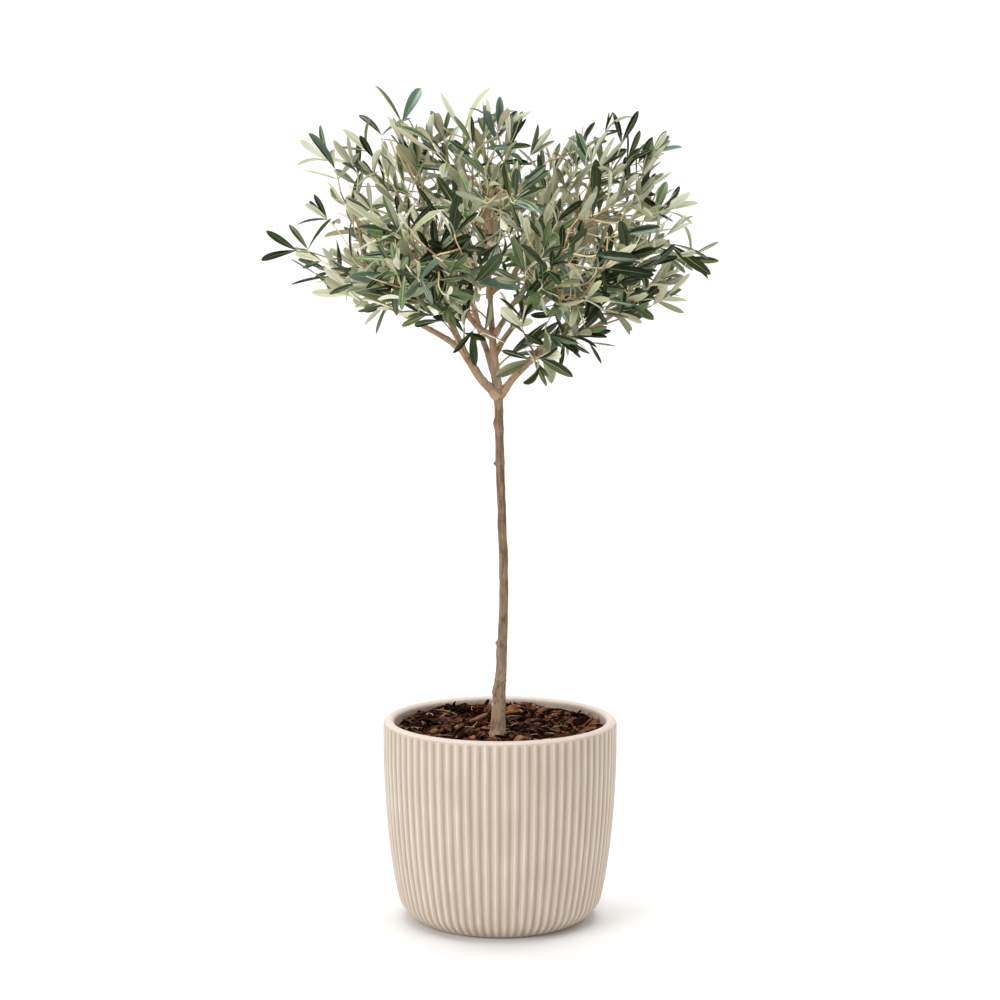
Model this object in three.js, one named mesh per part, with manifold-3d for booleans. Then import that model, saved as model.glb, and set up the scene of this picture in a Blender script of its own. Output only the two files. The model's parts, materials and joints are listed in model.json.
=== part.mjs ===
// Potted olive tree: a young standard on a clean stem, in a ribbed stoneware pot of bark compost.
// Millimetres, +Z up. The origin is the centre of the pot's flat underside, and the front faces -Y.
// The trunk stands on the compost and forks into boughs, which end where they enter the foliage.

import * as THREE from "three";
import { mergeVertices } from "three/addons/utils/BufferGeometryUtils.js";
import Module from "manifold-3d";

const wasm = await Module();
wasm.setup();

// ---------------------------------------------------------------- driving dimensions

const GAP = 0.3; // between two pieces that meet

const POT = {
  radius: 120, // over the crests of the ribs
  height: 208,
  wall: 11.5,
  floor: 14, // thickness under the compost
  shoulder: 170, // height where the straight wall starts to curve in
  belly: { radius: 117.8, z: 76.5 }, // control point of the curve below the shoulder
  heel: { radius: 105.1, z: 23.9 }, // where the belly turns into the corner
  corner: { radius: 101.9, z: 10.8 },
  foot: 86.6, // radius of the flat underside
  ribs: 72,
  ribDepth: 2.2,
  ribTop: 201, // the ribs run out into the smooth lip above this height
  lipFlat: 1.2, // width of the level band along the top of the rounded lip
  innerFoot: 80, // radius of the hollow at the floor
  hollowSegments: 36, // shared with the compost, whose corners then face the pot's
};

const COMPOST = {
  level: 188, // height of the ground round the trunk
  seat: 45, // radius of the level ground in the middle
  middle: 76, // radius of the ring half way to the wall
  rise: 6, // how much higher the compost lies against the wall
  bump: 1.4, // height of its humps, each way
  humps: 5, // round the pot, with as many again and one more between them
};

const TRUNK = {
  foot: [-3, -20], // where its centre line meets the ground
  flare: 8.6, // half the width at the ground
  waist: 4.5, // half the width of the clean stem
  crotch: 5.4, // half the width at the fork
  flareEnds: 0.11, // share of its length over which the root flare falls to a third
  crotchStarts: 0.82, // share of its length where it begins to widen for the fork
  footStep: 4,
  sides: 8,
  steps: 16,
};

const CROWN = {
  unevenness: 0.16, // of the lobes of a mass, as a share of its size
  jitter: 0.08, // of single sprays that stand out, likewise
  waves: 4, // how many ripples make up the lobes
  fewestTurns: 3, // of a ripple across the mass, in radians
  moreTurns: 4,
  detail: 3, // how finely a mass is divided
  innerDetail: 2, // the same for a mass that the others hide
};

const BOUGH = {
  sides: 6,
  step: 20, // length of one straight stretch
  clear: 0.25, // share of its length where a bough is clear of its parent and of the foliage
};

// ---------------------------------------------------------------- finishes

const finish = (color, roughness) =>
  new THREE.MeshStandardMaterial({ color, roughness, metalness: 0 });

const FINISH = {
  stoneware: finish(0xd9c8b3, 0.5),
  compost: finish(0x3b2318, 0.95),
  bark: finish(0x9a8068, 0.85),
  foliage: finish(0x7f8a6c, 0.6),
};

// ---------------------------------------------------------------- solids

// A geometry with its shared vertices merged, as the booleans and the displacements need it.
function merged(geometry) {
  geometry.deleteAttribute("normal");
  geometry.deleteAttribute("uv");
  return mergeVertices(geometry, 1e-3);
}

function toSolid(geometry) {
  const whole = merged(geometry);
  return new wasm.Manifold(
    new wasm.Mesh({
      numProp: 3,
      vertProperties: whole.attributes.position.array,
      triVerts: new Uint32Array(whole.index.array),
    }),
  );
}

function toGeometry(solid) {
  const mesh = solid.getMesh();
  const geometry = new THREE.BufferGeometry();
  geometry.setAttribute("position", new THREE.BufferAttribute(mesh.vertProperties, 3));
  geometry.setIndex(new THREE.BufferAttribute(mesh.triVerts, 1));
  return geometry;
}

// The piece of a cut solid that lies nearest to a point, with what was cut off beyond it dropped.
function pieceNear(solid, point) {
  const distance = (piece) => {
    const box = piece.boundingBox();
    const bounds = new THREE.Box3(new THREE.Vector3(...box.min), new THREE.Vector3(...box.max));
    return bounds.distanceToPoint(point);
  };
  return solid.decompose().sort((a, b) => distance(a) - distance(b))[0];
}

// Moves every vertex of a merged geometry to where `place` puts it.
function displaced(geometry, place) {
  const positions = geometry.attributes.position;
  const vertex = new THREE.Vector3();
  for (let i = 0; i < positions.count; i++) {
    vertex.fromBufferAttribute(positions, i);
    const moved = place(vertex.clone(), i);
    positions.setXYZ(i, moved.x, moved.y, moved.z);
  }
  return geometry;
}

// A repeatable stream of numbers from 0 to 1 (mulberry32).
function randomStream(seed) {
  let state = seed >>> 0;
  return () => {
    state = (state + 0x6d2b79f5) >>> 0;
    let mixed = Math.imul(state ^ (state >>> 15), 1 | state);
    mixed = (mixed + Math.imul(mixed ^ (mixed >>> 7), 61 | mixed)) ^ mixed;
    return ((mixed ^ (mixed >>> 14)) >>> 0) / 2 ** 32;
  };
}

const v2 = (x, y) => new THREE.Vector2(x, y);
const v3 = (x, y, z) => new THREE.Vector3(x, y, z);

// ---------------------------------------------------------------- pot and compost

// The hollow's outline from the floor up to the height of the shoulder, as radius and height.
function hollowOutline(inset) {
  const bottom = POT.floor + inset;
  return [
    v2(POT.innerFoot - inset, bottom),
    v2(POT.heel.radius - POT.wall - inset, POT.heel.z + POT.wall),
    v2(POT.belly.radius - POT.wall - inset, POT.belly.z + POT.wall),
    v2(POT.radius - POT.wall - inset, POT.shoulder),
  ];
}

// The rounded top of the wall, from its face (share 0) to the level band along its top (share 1).
function lipOutline(share, side) {
  const lipRadius = POT.wall / 2;
  const middle = POT.radius - lipRadius;
  const angle = (share * Math.PI) / 2;
  return v2(
    middle + side * (POT.lipFlat / 2 + (lipRadius - POT.lipFlat / 2) * Math.cos(angle)),
    POT.height - lipRadius + lipRadius * Math.sin(angle),
  );
}

// Every second column of the outside is pushed in, which leaves a rib between each two valleys.
function potOutside() {
  const corner = new THREE.QuadraticBezierCurve(
    v2(POT.foot, 0),
    v2(POT.corner.radius, POT.corner.z),
    v2(POT.heel.radius, POT.heel.z),
  );
  const belly = new THREE.QuadraticBezierCurve(
    v2(POT.heel.radius, POT.heel.z),
    v2(POT.belly.radius, POT.belly.z),
    v2(POT.radius, POT.shoulder),
  );
  const profile = [
    v2(0, 0),
    ...corner.getPoints(2),
    ...belly.getPoints(2).slice(1),
    v2(POT.radius, POT.ribTop - POT.ribDepth),
    ...[0, 0.5, 1].map((share) => lipOutline(share, 1)),
    v2(0, POT.height),
  ];
  const geometry = merged(new THREE.LatheGeometry(profile, 2 * POT.ribs));
  geometry.rotateX(Math.PI / 2);
  return displaced(geometry, (vertex) => {
    const column = Math.round((Math.atan2(vertex.y, vertex.x) / Math.PI) * POT.ribs);
    const inValley = Math.abs(column % 2) === 1;
    const ribbed = vertex.z > 1 && vertex.z < POT.ribTop;
    if (!inValley || !ribbed) return vertex;
    const radius = Math.hypot(vertex.x, vertex.y);
    const scale = (radius - POT.ribDepth) / radius;
    return v3(vertex.x * scale, vertex.y * scale, vertex.z);
  });
}

function potHollow() {
  const profile = [
    v2(0, POT.floor),
    ...hollowOutline(0),
    ...[0, 0.5, 1].map((share) => lipOutline(share, -1)),
    v2(lipOutline(1, -1).x, POT.height + 1),
    v2(0, POT.height + 1),
  ];
  return new THREE.LatheGeometry(profile, POT.hollowSegments).rotateX(Math.PI / 2);
}

function potGeometry() {
  return toGeometry(toSolid(potOutside()).subtract(toSolid(potHollow())));
}

// The compost fills the hollow; it is level round the trunk, rises to the wall and is rough on top.
function compostGeometry() {
  const edge = POT.radius - POT.wall - GAP;
  const rings = [edge, COMPOST.middle, COMPOST.seat, 0];
  const profile = [
    v2(0, POT.floor + GAP),
    ...hollowOutline(GAP),
    ...rings.map((radius) => v2(radius, COMPOST.level)),
  ];
  const geometry = merged(new THREE.LatheGeometry(profile, POT.hollowSegments));
  geometry.rotateX(Math.PI / 2);
  return displaced(geometry, (vertex) => {
    const radius = Math.hypot(vertex.x, vertex.y);
    const onTop = vertex.z > COMPOST.level - 1;
    if (!onTop || radius < COMPOST.seat + 1) return vertex;
    const outward = (radius - COMPOST.seat) / (edge - COMPOST.seat);
    const turn = COMPOST.humps * Math.atan2(vertex.y, vertex.x);
    const rough = Math.sin(turn + Math.PI * outward) + Math.sin(2.2 * turn - 5 * outward);
    vertex.z += COMPOST.rise * outward ** 2 + (COMPOST.bump * rough) / 2;
    return vertex;
  });
}

// ---------------------------------------------------------------- trunk and boughs

// A tapering limb: a capped cylinder bent along a curve, whose half width is set along its length.
// `extra` makes it larger all over, ends included, for the space that its neighbours leave free.
function limbGeometry(curve, halfWidthAt, sides, steps, extra) {
  const cylinder = merged(new THREE.CylinderGeometry(1, 1, 1, sides, steps));
  const frames = curve.computeFrenetFrames(steps, false);
  return displaced(cylinder, (vertex) => {
    const index = Math.round((vertex.y + 0.5) * steps);
    const halfWidth = halfWidthAt(index / steps) + extra;
    const overrun = index === 0 ? -extra : index === steps ? extra : 0;
    return curve
      .getPointAt(index / steps)
      .addScaledVector(frames.normals[index], vertex.x * halfWidth)
      .addScaledVector(frames.binormals[index], -vertex.z * halfWidth)
      .addScaledVector(frames.tangents[index], overrun);
  });
}

// The trunk bows gently and leans back as it rises. It flares at the ground and swells at the fork.
const trunkCurve = new THREE.CatmullRomCurve3([
  v3(TRUNK.foot[0], TRUNK.foot[1], COMPOST.level + GAP),
  v3(-1, -19, 224),
  v3(3, -16, 300),
  v3(3.5, -13, 370),
  v3(0, -10, 460),
  v3(-2.5, -8, 546),
]);

function trunkHalfWidth(share) {
  const flare = (TRUNK.flare - TRUNK.waist) * Math.exp(-share / TRUNK.flareEnds);
  const spread = THREE.MathUtils.smoothstep(share, TRUNK.crotchStarts, 1);
  return TRUNK.waist + flare + (TRUNK.crotch - TRUNK.waist) * spread;
}

// The trunk is cut flat at ground level: what lies within a step of the ground is laid on it.
function trunkGeometry(extra = 0) {
  const geometry = limbGeometry(trunkCurve, trunkHalfWidth, TRUNK.sides, TRUNK.steps, extra);
  return displaced(geometry, (vertex) => {
    if (vertex.z < COMPOST.level + TRUNK.footStep) vertex.z = COMPOST.level + GAP;
    return vertex;
  });
}

// Each bough leaves an earlier limb at a share of that limb's length and runs to its tip in one bow.
// `bow` is how far its middle lies above the straight line, `width` its half width at root and tip.
const BOUGHS = [
  {
    name: "bough_leader",
    from: "trunk",
    at: 0.97,
    tip: [-10, -6, 602],
    bow: 0,
    width: [4.6, 3.7],
  },
  {
    name: "bough_left",
    from: "trunk",
    at: 0.955,
    tip: [-40, -22, 591],
    bow: -3,
    width: [4.7, 3.9],
  },
  {
    name: "bough_right",
    from: "trunk",
    at: 0.95,
    tip: [104, 18, 636],
    bow: 9,
    width: [4.2, 2.6],
  },
  {
    name: "bough_back",
    from: "bough_leader",
    at: 0.25,
    tip: [-34, 96, 652],
    bow: -4,
    width: [3.7, 2.6],
  },
  {
    name: "bough_left_outer",
    from: "bough_left",
    at: 0.95,
    tip: [-128, -30, 638],
    bow: 3,
    width: [3.2, 2.2],
  },
  {
    name: "bough_left_upper",
    from: "bough_left",
    at: 0.95,
    tip: [-66, -2, 650],
    bow: 0,
    width: [3.4, 2.6],
  },
  {
    name: "bough_leader_left",
    from: "bough_leader",
    at: 0.95,
    tip: [-46, -48, 638],
    bow: -2,
    width: [3.2, 2.4],
  },
  {
    name: "bough_leader_upper",
    from: "bough_leader",
    at: 0.96,
    tip: [-14, 8, 676],
    bow: 0,
    width: [3.1, 2.4],
  },
  {
    name: "bough_leader_right",
    from: "bough_leader",
    at: 0.93,
    tip: [34, -52, 668],
    bow: 0,
    width: [3, 2.2],
  },
  {
    name: "bough_right_back",
    from: "bough_leader",
    at: 0.68,
    tip: [48, 66, 656],
    bow: 3,
    width: [3, 2.2],
  },
  {
    name: "bough_right_low",
    from: "bough_right",
    at: 0.42,
    tip: [122, -18, 628],
    bow: -4,
    width: [2.6, 1.9],
  },
  {
    name: "bough_right_front",
    from: "bough_right",
    at: 0.25,
    tip: [47, -38, 588],
    bow: 0,
    width: [2.2, 1.7],
  },
];

const limbCurves = new Map([["trunk", trunkCurve]]);
for (const { name, from, at, tip, bow } of BOUGHS) {
  const root = limbCurves.get(from).getPointAt(at);
  const end = v3(...tip);
  const control = root.clone().lerp(end, 0.5).add(v3(0, 0, 2 * bow));
  limbCurves.set(name, new THREE.QuadraticBezierCurve3(root, control, end));
}

function boughGeometry(bough, extra = 0) {
  const curve = limbCurves.get(bough.name);
  const [root, tip] = bough.width;
  const steps = Math.max(4, Math.round(curve.getLength() / BOUGH.step));
  return limbGeometry(curve, (share) => root + (tip - root) * share, BOUGH.sides, steps, extra);
}

// ---------------------------------------------------------------- masses of foliage

// Each mass: its middle, its half sizes along X, Y and Z, and the shoots that reach out of it.
const MASSES = [
  {
    name: "foliage_left_low",
    middle: [-138, -4, 670],
    half: [70, 76, 42],
    tips: [[-243, -14, 676], [-176, -46, 634]],
  },
  {
    name: "foliage_left_high",
    middle: [-127, 4, 734],
    half: [60, 76, 48],
    tips: [[-202, -6, 788], [-205, 10, 730]],
  },
  {
    name: "foliage_top_left",
    middle: [-80, -6, 784],
    half: [58, 70, 52],
    tips: [[-93, -10, 850], [-146, -8, 812]],
  },
  {
    name: "foliage_top",
    middle: [-12, -4, 782],
    half: [50, 66, 54],
    tips: [[-54, 2, 851], [2, -8, 843]],
  },
  {
    name: "foliage_top_right",
    middle: [90, 2, 768],
    half: [60, 72, 52],
    tips: [[110, 2, 828], [139, -10, 828]],
  },
  {
    name: "foliage_right_high",
    middle: [138, 2, 724],
    half: [54, 74, 50],
    tips: [[162, 6, 808], [207, -10, 741]],
  },
  {
    name: "foliage_right_low",
    middle: [142, -2, 664],
    half: [64, 76, 48],
    tips: [[222, -6, 668], [196, 14, 706]],
  },
  {
    name: "foliage_core_left",
    middle: [-46, 2, 680],
    half: [66, 66, 78],
    tips: [],
  },
  {
    name: "foliage_core_right",
    middle: [62, 0, 676],
    half: [76, 70, 74],
    tips: [],
  },
  {
    name: "foliage_front_left",
    middle: [-80, -118, 688],
    half: [78, 84, 68],
    tips: [[-104, -208, 690]],
  },
  {
    name: "foliage_front_right",
    middle: [84, -118, 686],
    half: [84, 84, 70],
    tips: [[98, -210, 704]],
  },
  {
    name: "foliage_front_top",
    middle: [2, -96, 748],
    half: [76, 72, 52],
    tips: [[-18, -168, 790]],
  },
  {
    name: "foliage_back_left",
    middle: [-80, 120, 690],
    half: [80, 84, 68],
    tips: [[-118, 206, 706]],
  },
  {
    name: "foliage_back_right",
    middle: [82, 122, 688],
    half: [84, 84, 70],
    tips: [[100, 210, 694]],
  },
  {
    name: "foliage_back_top",
    middle: [0, 98, 752],
    half: [76, 72, 50],
    tips: [[20, 170, 796]],
  },
  {
    name: "foliage_low_spray",
    middle: [56, -48, 586],
    half: [42, 34, 32],
    tips: [[42, -56, 541], [102, -56, 578]],
  },
];

// How far a mass reaches from its middle in a direction, as an ellipsoid.
function reach(mass, direction) {
  const [a, b, c] = mass.half;
  return 1 / Math.hypot(direction.x / a, direction.y / b, direction.z / c);
}

// The planes midway to its neighbours that a mass keeps behind, half a gap short of each.
function partings(mass) {
  const middle = v3(...mass.middle);
  return MASSES.filter((other) => other !== mass).map((other) => {
    const between = v3(...other.middle).sub(middle);
    const distance = between.length();
    const normal = between.normalize();
    const mine = reach(mass, normal);
    const theirs = reach(other, normal);
    return { normal, offset: (distance * mine) / (mine + theirs) - GAP / 2 };
  });
}

// The smooth lobes of a mass: ripples with directions of their own, added up and kept within -1 and 1.
function lobes(random) {
  const ripples = Array.from({ length: CROWN.waves }, () => ({
    along: v3(random() - 0.5, random() - 0.5, random() - 0.5).normalize(),
    turns: CROWN.fewestTurns + CROWN.moreTurns * random(),
    phase: 2 * Math.PI * random(),
  }));
  const height = (ripple, direction) =>
    Math.sin(ripple.turns * direction.dot(ripple.along) + ripple.phase);
  return (direction) => {
    const sum = ripples.reduce((total, ripple) => total + height(ripple, direction), 0);
    return sum / CROWN.waves;
  };
}

function massGeometry(mass, index, extra = 0) {
  const random = randomStream(101 + index);
  const lobe = lobes(random);
  const middle = v3(...mass.middle);
  const planes = partings(mass);
  const detail = mass.tips.length > 0 ? CROWN.detail : CROWN.innerDetail;
  const sphere = merged(new THREE.IcosahedronGeometry(1, detail));
  const directions = Array.from({ length: sphere.attributes.position.count }, (_, i) =>
    v3().fromBufferAttribute(sphere.attributes.position, i).normalize(),
  );
  const radii = directions.map((direction) => {
    const uneven = 1 + CROWN.unevenness * lobe(direction) + CROWN.jitter * (2 * random() - 1);
    return reach(mass, direction) * uneven;
  });
  for (const tip of mass.tips) {
    const toTip = v3(...tip).sub(middle);
    const distance = toTip.length();
    toTip.normalize();
    const facing = directions.map((direction) => direction.dot(toTip));
    const nearest = facing.indexOf(Math.max(...facing));
    directions[nearest].copy(toTip);
    radii[nearest] = distance;
  }
  return displaced(sphere, (_, i) => {
    const held = planes.reduce((radius, plane) => {
      const facing = directions[i].dot(plane.normal);
      return facing > 1e-3 ? Math.min(radius, plane.offset / facing) : radius;
    }, radii[i]);
    return directions[i].clone().multiplyScalar(held + extra).add(middle);
  });
}

// ---------------------------------------------------------------- assembly

const tree = new THREE.Group();

function add(name, geometry, material) {
  const mesh = new THREE.Mesh(geometry, material);
  mesh.name = name;
  tree.add(mesh);
}

add("pot", potGeometry(), FINISH.stoneware);
add("compost", compostGeometry(), FINISH.compost);
add("trunk", trunkGeometry(), FINISH.bark);

const massesToClear = MASSES.map((mass, index) => toSolid(massGeometry(mass, index, GAP)));
const limbsToClear = [toSolid(trunkGeometry(GAP))];
for (const bough of BOUGHS) {
  const whole = toSolid(boughGeometry(bough));
  const neighbours = [...limbsToClear, ...massesToClear];
  const cut = neighbours.reduce((left, other) => left.subtract(other), whole);
  const visible = limbCurves.get(bough.name).getPointAt(BOUGH.clear);
  add(bough.name, toGeometry(pieceNear(cut, visible)), FINISH.bark);
  limbsToClear.push(toSolid(boughGeometry(bough, GAP)));
}

MASSES.forEach((mass, index) => add(mass.name, massGeometry(mass, index), FINISH.foliage));

export default tree;
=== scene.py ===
"""A young standard olive tree in a ribbed stoneware pot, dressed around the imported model.

The pot, the compost and the bark are surfaces worked out on grids. The crown is grown: a seeded branching
rule carries twigs on from the boughs towards the space that each mass of foliage holds, and every shoot then
gets its pairs of leaves. Lengths are in metres, +Z is up and the plant's front faces -Y.
"""

import json
import logging
import math
from dataclasses import dataclass, field, fields
from enum import Enum, IntEnum
from typing import ClassVar

import bpy
import numpy as np
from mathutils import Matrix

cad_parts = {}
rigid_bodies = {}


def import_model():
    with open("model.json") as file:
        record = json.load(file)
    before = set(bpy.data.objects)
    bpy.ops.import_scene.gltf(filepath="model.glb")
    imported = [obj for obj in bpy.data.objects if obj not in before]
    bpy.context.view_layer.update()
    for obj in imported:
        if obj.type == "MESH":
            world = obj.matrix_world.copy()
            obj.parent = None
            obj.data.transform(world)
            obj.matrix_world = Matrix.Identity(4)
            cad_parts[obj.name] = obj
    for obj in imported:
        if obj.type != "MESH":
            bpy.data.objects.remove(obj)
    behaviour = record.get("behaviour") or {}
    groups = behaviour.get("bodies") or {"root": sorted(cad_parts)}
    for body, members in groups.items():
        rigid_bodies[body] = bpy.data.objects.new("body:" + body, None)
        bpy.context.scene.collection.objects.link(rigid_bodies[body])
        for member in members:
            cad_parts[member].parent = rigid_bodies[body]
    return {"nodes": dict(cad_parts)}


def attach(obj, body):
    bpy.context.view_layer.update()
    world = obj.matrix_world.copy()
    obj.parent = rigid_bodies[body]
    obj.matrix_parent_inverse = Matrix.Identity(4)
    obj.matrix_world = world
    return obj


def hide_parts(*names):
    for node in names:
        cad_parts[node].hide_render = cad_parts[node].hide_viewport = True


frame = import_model()

MM = 0.001
BODY = "root"
UP = np.array([0.0, 0.0, 1.0])
FRONT = np.array([0.0, -1.0, 0.0])
Array = np.ndarray
Random = np.random.Generator
Socket = bpy.types.NodeSocket
Pair = tuple[float, float]
Triple = tuple[float, float, float]
Colour = Triple
log = logging.getLogger("olive")


# ---- numbers and meshes


def unit(vectors: Array) -> Array:
    """Scale vectors, whose last axis holds X, Y and Z, to length one."""
    return vectors / np.maximum(np.linalg.norm(vectors, axis=-1, keepdims=True), 1e-12)


def smooth(values: Array, low: float, high: float) -> Array:
    """Rise smoothly from 0 at `low` to 1 at `high` (the cubic 3t^2 - 2t^3)."""
    t = np.clip((values - low) / (high - low), 0.0, 1.0)
    return t * t * (3.0 - 2.0 * t)


PRIMES = (374761393, 668265263, 2147483647, 974634777)


def lattice_noise(points: Array, seed: int) -> Array:
    """Smooth noise between -1 and 1 with one bump to a unit cube.

    Every corner of the unit lattice gets a value from an integer hash of its three indices, and the value
    between corners is blended with the cubic 3t^2 - 2t^3 along each axis.

    Args:
        points: Places to read the noise at, with X, Y and Z on the last axis.
        seed: Chooses one noise field among many.

    Returns:
        One value for each place.
    """
    cell = np.floor(points).astype(np.int64)
    t = points - cell
    t = t * t * (3.0 - 2.0 * t)
    total = np.zeros(points.shape[:-1])
    for corner in range(8):
        step = np.array([corner & 1, corner >> 1 & 1, corner >> 2 & 1])
        mixed = (((cell + step) * PRIMES[:3]).sum(-1) + seed * PRIMES[3]) & 0xFFFFFFFF
        for shift, factor in ((13, 1274126177), (15, 2246822519), (16, 1)):
            mixed = ((mixed ^ (mixed >> shift)) * factor) & 0xFFFFFFFF
        value = (mixed & 0xFFFF) / 32767.5 - 1.0
        total += np.prod(np.where(step == 1, t, 1.0 - t), axis=-1) * value
    return total


def layered_noise(points: Array, seed: int, layers: int) -> Array:
    """Add up noise fields, each twice as fine and half as high as the one before."""
    return sum(lattice_noise(points * 2**n, seed + n) * 0.5**n for n in range(layers))


def circle(count: int) -> Array:
    """Angles at even steps round a circle."""
    return np.linspace(0.0, 2 * math.pi, count, endpoint=False)


def polar(radius: Array, angle: Array, height: Array) -> Array:
    """Points by their distance from the upright axis, their angle round it and their height."""
    return np.stack(np.broadcast_arrays(radius * np.cos(angle), radius * np.sin(angle), height), -1)


def arc(start: Array | Pair, control: Array | Pair, end: Array | Pair, count: int) -> Array:
    """Points on the quadratic curve from `start` to `end` that leaves and arrives towards `control`."""
    t = np.linspace(0.0, 1.0, count)[:, None]
    return (1 - t) ** 2 * np.array(start) + 2 * t * (1 - t) * np.array(control) + t**2 * np.array(end)


def grid_faces(rows: int, columns: int, closed: bool) -> Array:
    """Join a grid of points into quads.

    Args:
        rows: How many rows the grid has.
        columns: How many points each row has.
        closed: Whether the last column is joined to the first.

    Returns:
        Quads of point numbers, which face outwards where rows climb and columns run anticlockwise.
    """
    row = np.arange(rows - 1)[:, None] * columns
    column = np.arange(columns if closed else columns - 1)[None, :]
    following = (column + 1) % columns
    quads = np.stack([row + column, row + following, row + columns + following, row + columns + column], -1)
    return quads.reshape(-1, 4)


def pole_fans(sides: int, last: int, poles: int) -> Array:
    """Close both ends of a grid of rings with fans of triangles.

    Args:
        sides: How many points a ring has.
        last: The number of the last ring's first point.
        poles: The number of the first ring's pole; the last ring's pole is the next.

    Returns:
        The first ring's triangles, then the last ring's.
    """
    ring = np.arange(sides)
    following = (ring + 1) % sides
    first = np.stack([following, ring, np.full(sides, poles)], -1)
    second = np.stack([last + ring, last + following, np.full(sides, poles + 1)], -1)
    return np.concatenate([first, second])


def strip_uv(across: Array, along: Array) -> list[Array]:
    """Unroll a capped grid of rings into an upright strip of the UV square.

    Args:
        across: U at each side of a ring, and once more where the ring closes.
        along: V at each ring. The two poles lie at 0 and 1.

    Returns:
        A pair for each corner of each quad, and for each corner of the triangles of the two caps.
    """
    left, right = across[:-1], across[1:]
    below, above = along[:-1, None], along[1:, None]
    corners = [(left[None], below), (right[None], below), (right[None], above), (left[None], above)]
    quads = np.stack([np.stack(np.broadcast_arrays(u, v), -1) for u, v in corners], 2).reshape(-1, 2)
    caps = []
    for first, second, edge, pole in ((right, left, along[0], 0.0), (left, right, along[-1], 1.0)):
        fan = [(first, edge), (second, edge), ((first + second) / 2, pole)]
        caps.append(np.stack([np.stack([u, np.full(len(u), v)], -1) for u, v in fan], 1).reshape(-1, 2))
    return [quads, np.concatenate(caps)]


@dataclass
class Surface:
    """Points and faces on their way to becoming a mesh.

    Attributes:
        points: One row of X, Y and Z for each point.
        faces: Arrays of quads and of triangles, as point numbers.
        slots: The material slot of each face, in arrays like those of the faces.
        layers: Named numbers (one for each point) or vectors (three for each point).
        corner_uv: A UV pair for each corner of each face, likewise.
    """

    points: Array
    faces: list[Array]
    slots: list[Array] | None = None
    layers: dict[str, Array] = field(default_factory=dict)
    corner_uv: list[Array] | None = None

    def to_object(self, name: str, materials: list[bpy.types.Material],
                  crease: float | None = None) -> bpy.types.Object:
        """Make the mesh and its object, with its place in its mesh.

        Args:
            name: The piece's name.
            materials: The materials of its slots, in order.
            crease: Angle in degrees past which an edge stays sharp, or None to shade it all smooth.

        Returns:
            The new object, linked to the scene.
        """
        mesh = bpy.data.meshes.new(name)
        sizes = np.concatenate([np.full(len(f), f.shape[1]) for f in self.faces])
        corners = np.concatenate([f.reshape(-1) for f in self.faces]).astype(np.int32)
        starts = np.concatenate([[0], np.cumsum(sizes)[:-1]]).astype(np.int32)
        mesh.vertices.add(len(self.points))
        mesh.vertices.foreach_set("co", self.points.astype(np.float32).reshape(-1))
        mesh.loops.add(len(corners))
        mesh.loops.foreach_set("vertex_index", corners)
        mesh.polygons.add(len(sizes))
        mesh.polygons.foreach_set("loop_start", starts)
        mesh.polygons.foreach_set("use_smooth", np.ones(len(sizes), bool))
        if self.slots is not None:
            mesh.polygons.foreach_set("material_index", np.concatenate(self.slots).astype(np.int32))
        if self.corner_uv is not None:
            layer = mesh.uv_layers.new(name="OFBake")
            layer.data.foreach_set("uv", np.concatenate(self.corner_uv).astype(np.float32).reshape(-1))
        mesh.update(calc_edges=True)
        for label, values in self.layers.items():
            kind, key = ("FLOAT_VECTOR", "vector") if values.ndim == 2 else ("FLOAT", "value")
            layer = mesh.attributes.new(label, kind, "POINT")
            layer.data.foreach_set(key, values.astype(np.float32).reshape(-1))
        for material in materials:
            mesh.materials.append(material)
        if crease is not None:
            mesh.set_sharp_from_angle(angle=math.radians(crease))
        piece = bpy.data.objects.new(name, mesh)
        bpy.context.scene.collection.objects.link(piece)
        return piece


def strewn(local: Array, axes: Array, places: Array, faces: list[Array], slots: Array) -> Surface:
    """Put many like shapes in their places.

    Args:
        local: The points of each shape, along its own three axes.
        axes: Those axes.
        places: Where each shape lies.
        faces: The faces of one shape: quads, triangles or both.
        slots: A row for each shape: its material slot, or those of its faces if they are all of one kind.

    Returns:
        All of them as one surface.
    """
    points = np.einsum("nka,nab->nkb", local, axes) + places[:, None]
    count, size = points.shape[:2]
    offsets = (np.arange(count) * size)[:, None, None]
    return Surface(
        points.reshape(-1, 3),
        [(part + offsets).reshape(-1, part.shape[1]) for part in faces],
        [np.broadcast_to(slots, (count, len(part))).reshape(-1) for part in faces],
    )


def joined(parts: list[Surface]) -> Surface:
    """Join surfaces of like faces into one.

    Args:
        parts: Surfaces with the same kinds of faces and the same layers.

    Returns:
        One surface with all their points, then all their faces kind by kind.
    """
    offsets = np.concatenate([[0], np.cumsum([len(p.points) for p in parts])[:-1]])
    faces = [[kind + offset for kind in part.faces] for part, offset in zip(parts, offsets)]
    faces, slots, corner_uv = (
        [np.concatenate(kind) for kind in zip(*held)] if held[0] else None
        for held in (faces, [part.slots for part in parts], [part.corner_uv for part in parts])
    )
    layers = {key: np.concatenate([part.layers[key] for part in parts]) for key in parts[0].layers}
    return Surface(np.concatenate([part.points for part in parts]), faces, slots, layers, corner_uv)


def dress(piece: bpy.types.Object, slot: str, *nodes: str) -> None:
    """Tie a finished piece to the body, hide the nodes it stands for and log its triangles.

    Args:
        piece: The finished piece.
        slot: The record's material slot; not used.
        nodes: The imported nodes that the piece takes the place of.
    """
    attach(piece, BODY)
    if nodes:
        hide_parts(*nodes)
    triangles = sum(len(p.vertices) - 2 for p in piece.data.polygons)
    log.info("%s: %d triangles", piece.name, triangles)


# ---- shader expressions


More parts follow.
